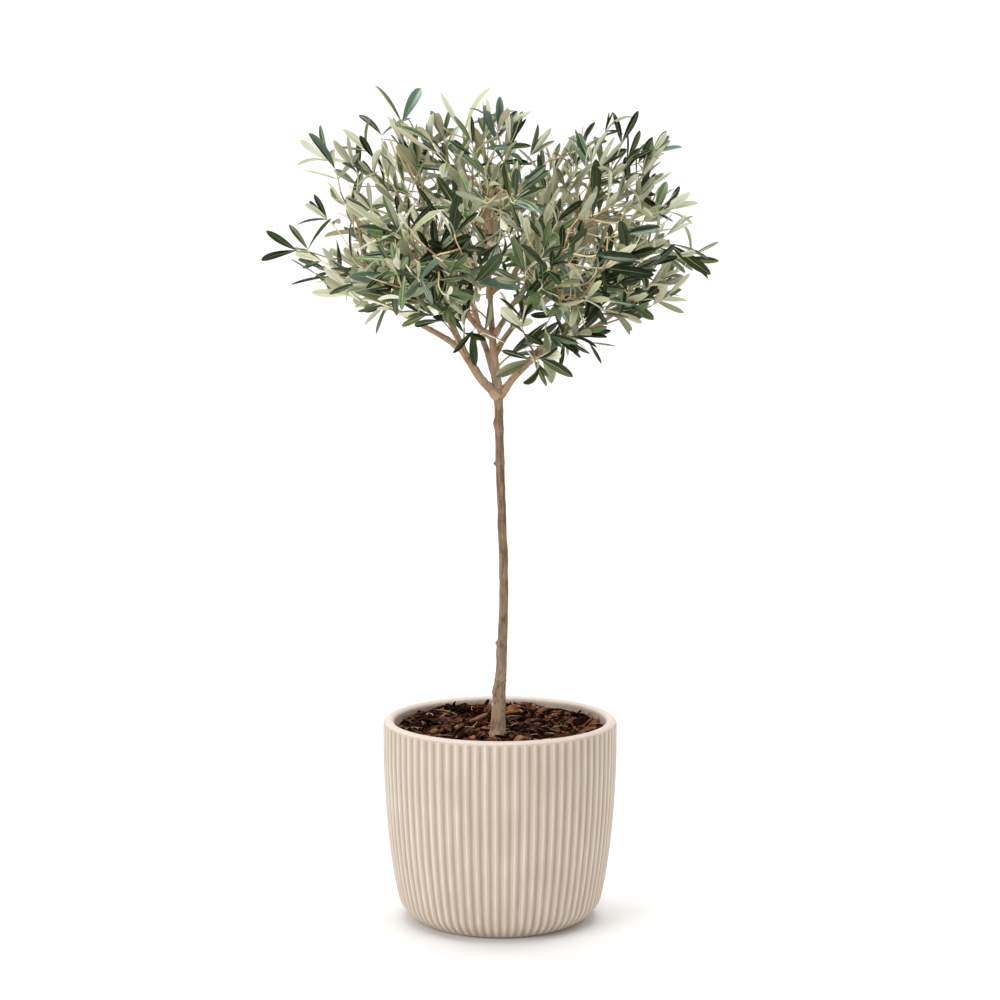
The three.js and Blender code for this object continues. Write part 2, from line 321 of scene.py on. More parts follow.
@dataclass(frozen=True)
class Channel:
    """A number that varies over a surface, which can be used in arithmetic."""

    paint: "Paint"
    socket: Socket

    def math(self, operation: str, *terms: "Channel | float") -> "Channel":
        """Put channels or plain numbers through an operation of the Math node."""
        node = self.paint.node("ShaderNodeMath", {"operation": operation}, dict(enumerate(terms)))
        return Channel(self.paint, node.outputs[0])

    def __add__(self, other: "Channel | float") -> "Channel":
        """Add another channel or number."""
        return self.math("ADD", self, other)

    def __sub__(self, other: "Channel | float") -> "Channel":
        """Take another channel or number away."""
        return self.math("SUBTRACT", self, other)

    def __rsub__(self, other: float) -> "Channel":
        """Take this channel away from a number."""
        return self.math("SUBTRACT", other, self)

    def __mul__(self, other: "Channel | float") -> "Channel":
        """Multiply by another channel or number."""
        return self.math("MULTIPLY", self, other)

    __radd__ = __add__
    __rmul__ = __mul__

    def between(self, low: float, high: float) -> "Channel":
        """Rise smoothly from 0 to 1 as the channel goes from `low` to `high`.

        Args:
            low: Where it is 0.
            high: Where it is 1.

        Returns:
            The rise.
        """
        inputs = {"Value": self, "From Min": low, "From Max": high}
        node = self.paint.node("ShaderNodeMapRange", {"interpolation_type": "SMOOTHSTEP"}, inputs)
        return Channel(self.paint, node.outputs["Result"])


def linear(red: int, green: int, blue: int) -> Colour:
    """Turn a colour of 0 to 255 as seen on a screen into the linear colour that a shader takes."""
    seen = np.array([red, green, blue]) / 255.0
    return tuple(float(c) for c in np.where(seen > 0.04045, ((seen + 0.055) / 1.055) ** 2.4, seen / 12.92))


class Paint:
    """One material under construction: a Principled shader and the nodes that feed it."""

    def __init__(self, name: str) -> None:
        """Start a material that has only its Principled shader.

        Args:
            name: The material's name.
        """
        self.material = bpy.data.materials.new(name)
        self.material.use_nodes = True
        self.tree = self.material.node_tree
        self.shader = next(n for n in self.tree.nodes if n.type == "BSDF_PRINCIPLED")

    def feed(self, socket: Socket, value: object) -> None:
        """Give a socket a channel, another node's socket, a plain colour or another plain value.

        Args:
            socket: The socket.
            value: What it takes.
        """
        source = value.socket if isinstance(value, Channel) else value
        if isinstance(source, Socket):
            self.tree.links.new(source, socket)
        else:
            socket.default_value = (*source, 1.0) if socket.type == "RGBA" else source

    def node(self, kind: str, settings: dict[str, object], inputs: dict[str | int, object]) -> bpy.types.Node:
        """Add a node.

        Args:
            kind: The node's type.
            settings: Its own settings, which are made first.
            inputs: What its sockets take, as in `feed`.

        Returns:
            The new node.
        """
        node = self.tree.nodes.new(kind)
        for key, value in settings.items():
            setattr(node, key, value)
        for key, value in inputs.items():
            self.feed(node.inputs[key], value)
        return node

    def place(self) -> Socket:
        """Give the place on the object, in metres."""
        return self.node("ShaderNodeTexCoord", {}, {}).outputs["Object"]

    def layer(self, name: str) -> Channel:
        """Read a number that the mesh holds for each point."""
        node = self.node("ShaderNodeAttribute", {"attribute_name": name}, {})
        return Channel(self, node.outputs["Fac"])

    def layer_vector(self, name: str) -> Socket:
        """Read a vector that the mesh holds for each point."""
        return self.node("ShaderNodeAttribute", {"attribute_name": name}, {}).outputs["Vector"]

    def stretched(self, vector: Socket, *scale: float) -> Socket:
        """Scale a place along each axis, so that a pattern on it is drawn out."""
        return self.node("ShaderNodeMapping", {}, {"Vector": vector, "Scale": scale}).outputs["Vector"]

    def noise(self, vector: Socket, size: float, detail: float) -> Channel:
        """Clouds between 0 and 1, with their size in the units of the vector and so many finer layers."""
        inputs = {"Vector": vector, "Scale": 1.0 / size, "Detail": detail}
        return Channel(self, self.node("ShaderNodeTexNoise", {}, inputs).outputs["Fac"])

    def specks(self, vector: Socket, size: float, radius: float) -> Channel:
        """Specks at distances of `size`: 1 in their middles, 0 past a `radius`, which is a share of that."""
        node = self.node("ShaderNodeTexVoronoi", {}, {"Vector": vector, "Scale": 1.0 / size})
        return 1.0 - Channel(self, node.outputs["Distance"]).between(0.4 * radius, radius)

    def blend(self, share: Channel, below: object, above: object) -> Socket:
        """Mix two colours: the first one where the share is 0, the second one where it is 1."""
        inputs = {"Factor": share, 6: below, 7: above}
        return self.node("ShaderNodeMix", {"data_type": "RGBA"}, inputs).outputs[2]

    def finish(self, colour: object, roughness: object, relief: Channel | None = None, depth: float = 0.0,
               **constants: float) -> bpy.types.Material:
        """Feed the Principled shader.

        Args:
            colour: Base colour, as a plain colour or a socket.
            roughness: Roughness, as a number or a channel.
            relief: A height between 0 and 1 that dents the surface, or None.
            depth: The height of the relief, in metres.
            constants: Other sockets by name, with underscores for spaces.

        Returns:
            The finished material.
        """
        self.feed(self.shader.inputs["Base Color"], colour)
        self.feed(self.shader.inputs["Roughness"], roughness)
        if relief is not None:
            bump = self.node("ShaderNodeBump", {}, {"Height": relief, "Distance": depth, "Strength": 1.0})
            self.feed(self.shader.inputs["Normal"], bump.outputs["Normal"])
        for key, value in constants.items():
            self.shader.inputs[key.replace("_", " ")].default_value = value
        return self.material


# ---- finishes


@dataclass(frozen=True)
class Stoneware:
    """Matte cream glaze over a buff body, with a painted highlight on the crests of the ribs and painted
    shade in the grooves.
    """

    # Painted highlight on the tops of the ribs and on the lip.
    crest: Colour = linear(228, 214, 199)
    glaze: Colour = linear(202, 187, 170)
    # Painted shade in the grooves and inside the pot.
    groove: Colour = linear(176, 158, 139)
    speck: Colour = linear(150, 124, 98)
    roughness: float = 0.52

    def material(self) -> bpy.types.Material:
        """Build the glaze from the mesh's rib layer of painted light, soft clouds, runs down the wall and
        fine specks.

        Returns:
            The material.
        """
        paint = Paint("stoneware_glaze")
        place = paint.place()
        clouds = paint.noise(place, 0.05, 3.0)
        runs = paint.noise(paint.stretched(place, 1.0, 1.0, 0.05), 0.0035, 4.0)
        grain = paint.noise(place, 0.0009, 2.0)
        height = paint.layer("rib") + (runs - 0.5) * 0.45 + (clouds - 0.5) * 0.35
        # Painted light: the rib layer blends to the groove colour as painted shade and to the crest colour as
        # a painted highlight.
        colour = paint.blend(height.between(0.0, 0.5), self.groove, self.glaze)
        colour = paint.blend(height.between(0.62, 1.05), colour, self.crest)
        specks = paint.specks(place, 0.0034, 0.16) * clouds.between(0.35, 0.7) * 0.55
        colour = paint.blend(specks, colour, self.speck)
        roughness = (grain - 0.5) * 0.25 + (runs - 0.5) * 0.15 + self.roughness
        relief = grain * 0.6 + runs * 0.4
        return paint.finish(colour, roughness, relief, 0.00022, Coat_Weight=0.0, Specular_IOR_Level=0.45)


@dataclass(frozen=True)
class Bark:
    """Smooth young olive bark: tan and grey streaks, cracks darkened as painted shade, swellings lightened as
    painted highlights, and a foot painted paler as painted light.
    """

    tan: Colour = linear(148, 121, 95)
    grey: Colour = linear(108, 90, 71)
    warm: Colour = linear(156, 118, 88)
    # Painted light: the paler colour of the trunk's foot, which stands in shade; the boughs and leader take
    # some of it as young bark.
    foot: Colour = linear(198, 169, 140)
    # Painted shade in the cracks, the hollows and the line under each ring.
    crack: Colour = linear(84, 62, 46)
    # Lenticel pores, and painted highlights on the swellings.
    pore: Colour = linear(190, 166, 138)
    roughness: float = 0.74

    def material(self) -> bpy.types.Material:
        """Build the bark from the grain that runs along each limb and the relief of its mesh, which places
        painted highlights and painted shade.

        Returns:
            The material.
        """
        paint = Paint("olive_bark")
        grain = paint.layer_vector("grain")
        streaks = paint.noise(paint.stretched(grain, 1.0, 1.0, 0.12), 0.0022, 5.0)
        patches = paint.noise(grain, 0.018, 3.0)
        fine = paint.noise(paint.stretched(grain, 1.0, 1.0, 0.3), 0.0008, 3.0)
        pores = paint.specks(paint.stretched(grain, 1.0, 1.0, 1.6), 0.0042, 0.2)
        colour = paint.blend(streaks.between(0.38, 0.62), self.grey, self.tan)
        colour = paint.blend(patches.between(0.5, 0.72) * 0.6, colour, self.warm)
        # Painted light: the foot layer paints the trunk paler towards the ground, and the boughs and leader a
        # little paler.
        colour = paint.blend(paint.layer("foot") * (streaks * 0.6 + 0.6), colour, self.foot)
        relief = paint.layer("relief")
        # Painted highlights on the swellings, then painted shade in the cracks, the hollows and under the
        # rings.
        colour = paint.blend(relief.between(0.12, 0.45) * 0.4, colour, self.pore)
        colour = paint.blend(relief.between(-0.12, -0.7) * 0.7, colour, self.crack)
        colour = paint.blend(pores * 0.5, colour, self.pore)
        roughness = (fine - 0.5) * 0.3 + self.roughness
        return paint.finish(colour, roughness, streaks * 0.6 + fine * 0.4, 0.0006, Specular_IOR_Level=0.35)


@dataclass(frozen=True)
class Earth:
    """Dark, damp fines between the chips of bark."""

    damp: Colour = linear(16, 6, 3)
    dry: Colour = linear(52, 26, 15)
    roughness: float = 0.95

    def material(self) -> bpy.types.Material:
        """Build the fines from two sizes of crumbs.

        Returns:
            The material.
        """
        paint = Paint("compost_fines")
        place = paint.place()
        crumbs = paint.noise(place, 0.004, 5.0)
        clods = paint.noise(place, 0.018, 2.0)
        colour = paint.blend((crumbs * 0.7 + clods * 0.3).between(0.42, 0.66), self.damp, self.dry)
        return paint.finish(colour, self.roughness, crumbs, 0.0016, Specular_IOR_Level=0.0)


@dataclass(frozen=True)
class Tint:
    """One even colour, of 0 to 255 as seen on a screen, that is dealt out among many small things."""

    name: str
    colour: tuple[int, int, int]
    roughness: float
    shine: float = 0.5

    def material(self) -> bpy.types.Material:
        """Make the tint's own plain material."""
        return Paint(self.name).finish(linear(*self.colour), self.roughness, Specular_IOR_Level=self.shine)


# ---- studio


@dataclass(frozen=True)
class Softbox:
    """A square area light: where its middle is, what it faces, the length of its side and its power."""

    name: str
    place: Triple
    target: Triple
    size: float
    watts: float

    def hang(self) -> None:
        """Add the light to the scene, turned to what it faces."""
        light = bpy.data.lights.new(self.name, "AREA")
        light.size = self.size
        light.energy = self.watts
        lamp = bpy.data.objects.new(self.name, light)
        bpy.context.scene.collection.objects.link(lamp)
        east, north, up = np.array(self.place) - np.array(self.target)
        lamp.location = self.place
        lamp.rotation_euler = (math.atan2(math.hypot(east, north), up), 0.0, math.atan2(east, -north))


PLANT, WALL = (0.0, 0.0, 0.45), (0.0, 3.8, 1.4)


@dataclass
class Studio:
    """A white sweep whose floor rises at `bend`, large soft lights, and a camera tilted by some degrees."""

    camera_place: Triple = (0.0, -2.5, 0.7313)
    camera_tilt: float = 6.8
    lens: float = 89.1
    sensor: float = 36.0
    half_width: float = 4.0
    front: float = -3.5
    bend: float = 2.2
    bend_radius: float = 1.6
    wall_top: float = 4.0
    air: float = 0.17
    softboxes: tuple[Softbox, ...] = (
        Softbox("window_left", (-2.3, -2.2, 1.6), PLANT, 1.9, 62.0),
        Softbox("fill_right", (2.6, -1.6, 1.0), PLANT, 1.6, 20.0),
        Softbox("top", (0.0, 0.2, 3.0), PLANT, 2.2, 96.0),
        Softbox("wall_left", (-2.4, 1.5, 2.7), WALL, 1.5, 40.0),
        Softbox("wall_right", (2.4, 1.5, 2.7), WALL, 1.5, 40.0),
    )

    def build(self) -> None:
        """Make the sweep, the lights and the camera."""
        self.sweep()
        self.lights()
        self.camera()

    def sweep(self) -> None:
        """Carry the profile of floor, quarter bend and wall across the width of the studio."""
        turn = np.linspace(0.0, math.pi / 2, 24)
        rising = self.bend_radius * np.stack([np.sin(turn), 1.0 - np.cos(turn)], -1)
        wall = (self.bend + self.bend_radius, self.wall_top)
        profile = [(self.front, 0.0), *((self.bend, 0.0) + rising), wall]
        points = [(x, y, z) for y, z in profile for x in (-self.half_width, self.half_width)]
        paper = Paint("studio_paper").finish((0.93, 0.93, 0.93), 0.9, Specular_IOR_Level=0.0)
        surface = Surface(np.array(points), [grid_faces(len(profile), 2, False)])
        surface.to_object("studio_sweep", [paper])

    def lights(self) -> None:
        """Light the air evenly and hang the soft lights."""
        world = bpy.data.worlds.new("studio_air")
        bpy.context.scene.world = world
        world.use_nodes = True
        world.node_tree.nodes["Background"].inputs["Color"].default_value = (1.0, 1.0, 1.0, 1.0)
        world.node_tree.nodes["Background"].inputs["Strength"].default_value = self.air
        for softbox in self.softboxes:
            softbox.hang()

    def camera(self) -> None:
        """Stand the camera in front of the plant, level across and tilted down a little."""
        data = bpy.data.cameras.new("camera")
        data.lens = self.lens
        data.sensor_width = self.sensor
        data.clip_end = 30.0
        camera = bpy.data.objects.new("camera", data)
        bpy.context.scene.collection.objects.link(camera)
        camera.location = self.camera_place
        camera.rotation_euler = (math.radians(90.0 - self.camera_tilt), 0.0, 0.0)
        bpy.context.scene.camera = camera
        bpy.context.scene.view_settings.view_transform = "Standard"


# ---- pot


@dataclass
class RibbedPot:
    """A round pot with an in-curving foot, a wall of upright half-round ribs and a smooth rounded lip.

    Attributes:
        radius: Over the crests of the ribs.
        height: From the floor to the top of the lip.
        wall: The wall's thickness.
        floor: The thickness of the bottom.
        shoulder: The height where the upright wall starts to curve in.
        foot: The radius at the bottom, and `inner_foot` inside.
        belly: Radius and height of the curve's control point under the shoulder.
        heel: Radius and height of where the belly turns into the corner.
        corner: Radius and height of the corner's control point.
        ribs: How many there are, and `turn` how far they are turned, in ribs.
        rib_depth: How deep the grooves are, and `rib_top` where they run out into the lip.
        sharpness: How narrow the grooves are.
        gap: How far the edge of the foot stands off the floor.
        columns_to_rib: How many columns of points draw one rib.
        seed: Seeds the unevenness of the ribs.
    """

    radius: float = 120 * MM
    height: float = 208 * MM
    wall: float = 11.5 * MM
    floor: float = 14 * MM
    shoulder: float = 170 * MM
    foot: float = 86.6 * MM
    inner_foot: float = 80 * MM
    belly: Pair = (117.8 * MM, 76.5 * MM)
    heel: Pair = (105.1 * MM, 23.9 * MM)
    corner: Pair = (101.9 * MM, 10.8 * MM)
    ribs: int = 76
    turn: float = 0.5
    rib_depth: float = 1.25 * MM
    rib_top: float = 207.4 * MM
    sharpness: float = 3.2
    gap: float = 1.5 * MM
    columns_to_rib: int = 10
    seed: int = 11

    def outline(self) -> Array:
        """The half section from the middle of the underside, out, up, over the lip and down inside.

        Returns:
            Rows of radius and height.
        """
        lip = self.wall / 2
        shoulder = (self.radius, self.shoulder)
        over = np.linspace(0.0, math.pi, 15)
        turned = np.stack([np.cos(over), np.sin(over)], -1)
        rounded = np.array([self.radius, self.height]) - lip + lip * turned
        up = np.linspace(self.shoulder, self.height - lip, 9)[1:-1]
        inside_heel = (self.heel[0] - self.wall, self.heel[1] + self.wall)
        inside_belly = (self.belly[0] - self.wall, self.belly[1] + self.wall)
        inside = arc((self.radius - self.wall, self.shoulder), inside_belly, inside_heel, 8)
        return np.concatenate([
            [[0.0, 0.0], [self.foot * 0.6, 0.0], [self.foot - 9 * MM, 0.0]],
            [[self.foot - 8 * MM, self.gap * 0.8], [self.foot, self.gap]],
            arc((self.foot + 1.5 * MM, self.gap * 1.4), self.corner, self.heel, 9),
            arc(self.heel, self.belly, shoulder, 22)[1:],
            np.stack([np.full(len(up), self.radius), up], -1),
            rounded,
            inside,
            [[self.inner_foot, self.floor], [0.0, self.floor]],
        ])

    def build(self) -> None:
        """Turn the outline into the pot.

        A point's radius is the outline's, less the depth of the groove there: the depth times a power, the
        `sharpness`, of the half-wave |sin| that is 0 on the top of a rib and 1 in the groove. Each rib's
        depth differs a little from the next one's. The rib layer paints light into the glaze: a highlight on
        the tops of the ribs and on the lip, shade in the grooves and a darker value inside and under the pot.
        """
        columns = self.ribs * self.columns_to_rib
        outline = self.outline()
        rng = np.random.default_rng(self.seed)
        angle = circle(columns)
        phase = self.ribs * angle / (2 * math.pi) + self.turn
        deeper = 1.0 + rng.uniform(-0.3, 0.3, self.ribs)[np.floor(phase + 1e-9).astype(int) % self.ribs]
        radius, height = outline[:, :1], outline[:, 1:]
        outer = np.arange(len(outline)) < int(np.argmax(outline[:, 1]))
        on_wall = outer[:, None] & (height > 0)
        fade = smooth(height, self.gap, 4 * MM) * (1.0 - smooth(height, self.rib_top - 5 * MM, self.rib_top))
        half_wave = np.abs(np.sin(math.pi * phase))[None, :]
        groove = half_wave**self.sharpness
        depth = np.where(on_wall, self.rib_depth * fade * groove * deeper[None, :], 0.0)
        sway = lattice_noise(polar(3.0, angle, height / (60 * MM)), self.seed)
        swept = radius - depth + 0.25 * MM * sway * on_wall * fade
        # Painted light for the glaze's rib layer: a highlight on the tops of the ribs and on the lip, shade
        # in the grooves, and a darker 0.3 inside and under the pot.
        crest = 1.0 - half_wave**0.5
        lip = 1.15 * smooth(height, self.rib_top - 6 * MM, self.rib_top)
        painted_rib_light = np.where(on_wall, 0.6 + fade * (0.4 * crest - 0.6 * groove), 0.3)
        dress(self.skin(polar(swept, angle, height), np.maximum(painted_rib_light, lip)), "stoneware", "pot")

    def skin(self, points: Array, painted_rib_light: Array) -> bpy.types.Object:
        """Close the grid at its two poles and make the pot's mesh.

        Args:
            points: The grid, whose first and last rows lie on the axis.
            painted_rib_light: The glaze's painted light at each point: painted shade in a groove (0),
                highlight on a rib (1).

        Returns:
            The pot.
        """
        rows, columns = painted_rib_light.shape
        body = points[1:-1].reshape(-1, 3)
        whole = np.concatenate([body, points[:1, 0], points[-1:, 0]])
        faces = [grid_faces(rows - 2, columns, True), pole_fans(columns, (rows - 3) * columns, len(body))]
        height = np.concatenate([painted_rib_light[1:-1].reshape(-1), [0.7, 0.7]])
        run = arc_length(points[:, 0])
        uv = strip_uv(np.linspace(0.0, 1.0, columns + 1), run[1:-1] / run[-1])
        surface = Surface(whole, faces, None, {"rib": height}, uv)
        return surface.to_object("ribbed_pot", [Stoneware().material()])


# ---- compost


CHIP_TINTS = (
    Tint("chip_black", (30, 13, 4), 0.8, 0.02),
    Tint("chip_dark", (54, 27, 9), 0.55, 0.08),
    Tint("chip_brown", (90, 50, 22), 0.42, 0.16),
    Tint("chip_red", (110, 60, 26), 0.4, 0.2),
    Tint("chip_tan", (154, 108, 68), 0.5, 0.15),
)
CHIP_SHARES = (0.34, 0.31, 0.2, 0.11, 0.04)
FIBRE_TINTS = (
    Tint("fibre_brown", (136, 86, 50), 0.7, 0.2),
    Tint("fibre_tan", (202, 160, 116), 0.6, 0.3),
    Tint("fibre_dark", (84, 46, 22), 0.8, 0.1),
)
SLIVER_TINTS = (
    Tint("sliver_straw", (206, 178, 142), 0.7, 0.3),
    Tint("sliver_pale", (226, 212, 190), 0.7, 0.3),
)


@dataclass(frozen=True)
class Strands:
    """One kind of thin strand in the compost, from the shortest to the longest, with half its thickness."""

    name: str
    count: int
    length: Pair
    half: float
    tints: tuple[Tint, ...]
    seed: int


@dataclass
class CompostBed:
    """Bark compost: damp fines, with chips of bark, coconut fibres and a few pale slivers on them.

    Attributes:
        level: The height of the ground in the middle.
        seat: The radius of the level ground.
        rise: How much higher it lies against the wall.
        mound: The place and height of a heap behind the stem, and `mound_reach` how wide it is.
        clod: The height of the clods.
        edge: The bed's radius, and `bottom` the height of its underside.
        chips: How many chips of bark there are.
        chip_sizes: Half the least and half the greatest length of a chip, and half its greatest width.
        litter: The strands among them.
        seed: Seeds the ground and the chips.
    """

    level: float = 188 * MM
    seat: float = 45 * MM
    rise: float = 9 * MM
    mound: Triple = (-8 * MM, 66 * MM, 6 * MM)
    mound_reach: float = 74 * MM
    clod: float = 2.3 * MM
    edge: float = 108 * MM
    bottom: float = 150 * MM
    chips: int = 1250
    chip_sizes: Triple = (1.6 * MM, 17 * MM, 5 * MM)
    litter: tuple[Strands, ...] = (
        Strands("coconut_fibres", 150, (12 * MM, 32 * MM), 0.4 * MM, FIBRE_TINTS, 29),
        Strands("pale_slivers", 22, (4 * MM, 11 * MM), 0.8 * MM, SLIVER_TINTS, 31),
    )
    seed: int = 23

    def build(self) -> None:
        """Make the bed and scatter the chips and strands on it."""
        self.fines()
        self.bark_chips()
        for kind in self.litter:
            self.strands(kind)

    def ground(self, radius: Array, angle: Array) -> Array:
        """The height of the fines: level, rising to the wall, heaped up behind, with clods.

        Args:
            radius: Distances from the middle.
            angle: Angles round it.

        Returns:
            The heights.
        """
        outward = np.clip((radius - self.seat) / (self.edge - self.seat), 0.0, 1.0)
        place = polar(radius, angle, 0.0)
        clods = layered_noise(place / (22 * MM), self.seed, 4)
        east, north, high = self.mound
        apart = (place[..., 0] - east) ** 2 + (place[..., 1] - north) ** 2
        heap = high * np.exp(-apart / self.mound_reach**2)
        return self.level + self.rise * outward**2 + heap + self.clod * clods - 1.0 * MM

    def fines(self) -> None:
        """Make the bed of fines: a closed drum whose top is the rough ground."""
        columns, rings = 160, 44
        angle, radius = np.meshgrid(circle(columns), np.linspace(self.edge, 1.2 * MM, rings))
        top = polar(radius, angle, self.ground(radius, angle))
        foot = polar(radius[:1], angle[:1], self.bottom)
        poles = [[0.0, 0.0, self.bottom], [0.0, 0.0, float(top[-1, :, 2].mean())]]
        points = np.concatenate([*foot, *top, poles])
        faces = [grid_faces(rings + 1, columns, True), pole_fans(columns, rings * columns, len(points) - 2)]
        bed = Surface(points, faces).to_object("compost_fines", [Earth().material()])
        dress(bed, "compost", "compost")

    def scattered(self, rng: Random, count: int, lift: Pair) -> Array:
        """Choose places on the ground, evenly over its area.

        Args:
            rng: The stream of random numbers.
            count: How many.
            lift: The least and the most height above the ground.

        Returns:
            One place for each.
        """
        radius = (self.edge - 5 * MM) * np.sqrt(rng.uniform(0.0, 1.0, count))
        angle = rng.uniform(0.0, 2 * math.pi, count)
        return polar(radius, angle, self.ground(radius, angle) + rng.uniform(*lift, count))

    def bark_chips(self) -> None:
        """Scatter chips: each is a bent slab with an uneven outline of eight corners.

        A corner lies at the chip's own half length and half width times a random 0.7 to 1.1. The slab bends
        across its width and along its length by parabolas, and its upper rim is drawn in by a fifth.
        """
        rng = np.random.default_rng(self.seed)
        count, corners = self.chips, 8
        shortest, longest, widest = self.chip_sizes
        length = np.minimum(rng.gamma(2.2, 3.0 * MM, count) + shortest, longest)
        width = np.minimum(length * rng.uniform(0.16, 0.46, count), widest)
        thick = np.clip(length * rng.uniform(0.08, 0.22, count), 0.5 * MM, 1.8 * MM)
        turn = circle(corners)[None, :]
        reach = rng.uniform(0.7, 1.1, (count, corners))
        flat_x = reach * np.cos(turn) * length[:, None]
        flat_y = reach * np.sin(turn) * width[:, None]
        bend = rng.uniform(-0.25, 0.5, count)[:, None] * (flat_y / width[:, None]) ** 2 * width[:, None]
        bend += rng.uniform(-0.3, 0.15, count)[:, None] * (flat_x / length[:, None]) ** 2 * length[:, None]
        half = thick[:, None] / 2
        lower = np.stack([flat_x, flat_y, bend - half], -1)
        top = bend + half * rng.uniform(0.6, 1.4, (count, corners))
        upper = np.stack([0.8 * flat_x, 0.8 * flat_y, top], -1)
        middle = np.stack([0 * half, 0 * half, -half], -1)
        crown = np.stack([0 * half, 0 * half, half * 1.2], -1)
        local = np.concatenate([lower, upper, middle, crown], 1)
        axes = self.tumbled(rng, count, 0.8 * np.clip(5 * MM / length, 0.3, 1.0)[:, None])
        places = self.scattered(rng, count, (-0.8 * MM, 3.4 * MM))
        faces = [grid_faces(2, corners, True), pole_fans(corners, corners, 2 * corners)]
        tints = rng.choice(len(CHIP_TINTS), (count, 1), p=CHIP_SHARES)
        surface = strewn(local, axes, places, faces, tints)
        dress(surface.to_object("bark_chips", [tint.material() for tint in CHIP_TINTS], 30.0), "compost")

    def tumbled(self, rng: Random, count: int, tilt: float | Array) -> Array:
        """Turn things any way round and tip them from the level.

        Args:
            rng: The stream of random numbers.
            count: How many.
            tilt: How far their upright leans, as a spread on a unit vector.

        Returns:
            Three axes for each: along, across and up.
        """
        up = unit(UP + rng.normal(0.0, tilt, (count, 3)))
        along = unit(np.cross(up, rng.normal(0.0, 1.0, (count, 3))))
        return np.stack([along, np.cross(up, along), up], 1)

    def strands(self, kind: Strands) -> None:
        """Scatter thin bent strands, each a three-sided tube along a shallow curve.

        A strand's middle line is its length along its own axis, bent sideways and upwards by two parabolas.

        Args:
            kind: What they are like.
        """
        rng = np.random.default_rng(kind.seed)
        count, steps, sides = kind.count, 7, 3
        t = np.linspace(-0.5, 0.5, steps)[None, :]
        long = rng.uniform(*kind.length, count)[:, None]
        side = rng.uniform(-0.3, 0.3, (count, 1)) * long * (4 * t**2 - 0.3)
        lift = rng.uniform(-0.18, 0.06, (count, 1)) * long * (4 * t**2 - 0.6)
        line = np.stack([long * t, side, lift], -1)
        turn = circle(sides)
        thin = kind.half * np.sqrt(np.clip(1.0 - (2 * t) ** 4, 0.05, 1.0))[..., None]
        ring = np.stack([0 * turn, np.cos(turn), np.sin(turn)], -1)
        local = line[:, :, None] + thin[..., None] * ring[None, None]
        axes = self.tumbled(rng, count, 0.16)
        places = self.scattered(rng, count, (2.0 * MM, 5.0 * MM))
        last = (steps - 1) * sides
        ends = np.array([[0, 1, 2], [last + 2, last + 1, last]])
        tints = rng.integers(0, len(kind.tints), (count, 1))
        faces = [grid_faces(steps, sides, True)[:, ::-1], ends]
        surface = strewn(local.reshape(count, -1, 3), axes, places, faces, tints)
        dress(surface.to_object(kind.name, [tint.material() for tint in kind.tints]), "compost")


# ---- limbs


def spline(knots: Array, spacing: float) -> Array:
    """A smooth curve through a few points, sampled at even steps (uniform Catmull-Rom).

    Args:
        knots: The points, one row each.
        spacing: The length of a step.

    Returns:
        The sampled points.
    """
    ends = np.concatenate([[2 * knots[0] - knots[1]], knots, [2 * knots[-1] - knots[-2]]])
    t = np.linspace(0.0, 1.0, 60, endpoint=False)[:, None]
    a, b, c, d = (ends[n : len(ends) - 3 + n, None] for n in range(4))
    curve = b + 0.5 * t * (c - a + t * (2 * a - 5 * b + 4 * c - d + t * (3 * (b - c) + d - a)))
    return resampled(np.concatenate([curve.reshape(-1, 3), knots[-1:]]), spacing)


def resampled(line: Array, spacing: float) -> Array:
    """Space the points of a line evenly.

    Args:
        line: The line's points.
        spacing: The distance wanted between two points.

    Returns:
        At least three points from end to end.
    """
    run = arc_length(line)
    even = np.linspace(0.0, run[-1], max(3, int(round(run[-1] / spacing)) + 1))
    return np.stack([np.interp(even, run, line[:, axis]) for axis in range(3)], -1)


def arc_length(line: Array) -> Array:
    """The distance along a line from its start to each of its points."""
    return np.concatenate([[0.0], np.cumsum(np.linalg.norm(np.diff(line, axis=0), axis=-1))])


def tangents(line: Array) -> Array:
    """The direction of a line at each of its points."""
    return unit(np.gradient(line, axis=0))


def tube(line: Array, radii: Array, sides: int) -> Surface:
    """Sweep a circle along a line and close both ends.

    The circle's first axis is +X, or another fixed direction where the line runs along that, laid square to
    the line at each point, so that the tube doesn't twist.

    Args:
        line: The points of its middle.
        radii: The radius at each point, or at each point and side.
        sides: How many sides it has.

    Returns:
        The tube, with the layers "grain" (its place unrolled along the line) and "relief" (all 0).
    """
    along = tangents(line)
    axis = np.eye(3)[int(np.argmin(np.abs(along).sum(0) * np.array([0.5, 1.0, 1.0])))]
    across = unit(axis - (along @ axis)[:, None] * along)
    other = np.cross(along, across)
    turn, rows = circle(sides), len(line)
    radii = np.broadcast_to(radii.reshape(rows, -1), (rows, sides))
    spokes = np.cos(turn)[None, :, None] * across[:, None] + np.sin(turn)[None, :, None] * other[:, None]
    points = line[:, None] + radii[..., None] * spokes
    run = np.repeat(arc_length(line)[:, None], sides, 1)
    size = radii.mean(1, keepdims=True)
    grain = np.stack([size * np.cos(turn), size * np.sin(turn), run], -1)
    ends = np.stack([line[0] - 0.2 * radii[0, 0] * along[0], line[-1] + 0.6 * radii[-1, 0] * along[-1]])
    caps = np.stack([grain[0].mean(0), grain[-1].mean(0)])
    faces = [grid_faces(rows, sides, True), pole_fans(sides, (rows - 1) * sides, rows * sides)]
    grain = np.concatenate([grain.reshape(-1, 3), caps])
    return Surface(
        np.concatenate([points.reshape(-1, 3), ends]), faces, None,
        {"grain": grain, "relief": np.zeros(len(grain))},
    )


@dataclass(frozen=True)
class Knot:
    """A swelling on a limb: the stub of a lost twig or the mark of an old pair of leaves.

    Attributes:
        height: How far along the limb its middle lies.
        turn: Its place round the limb, in degrees from +X towards +Y, or None for a ring right round.
        rise: How far it stands out.
        reach: Its half size along the limb.
    """

    height: float
    turn: float | None
    rise: float
    reach: float


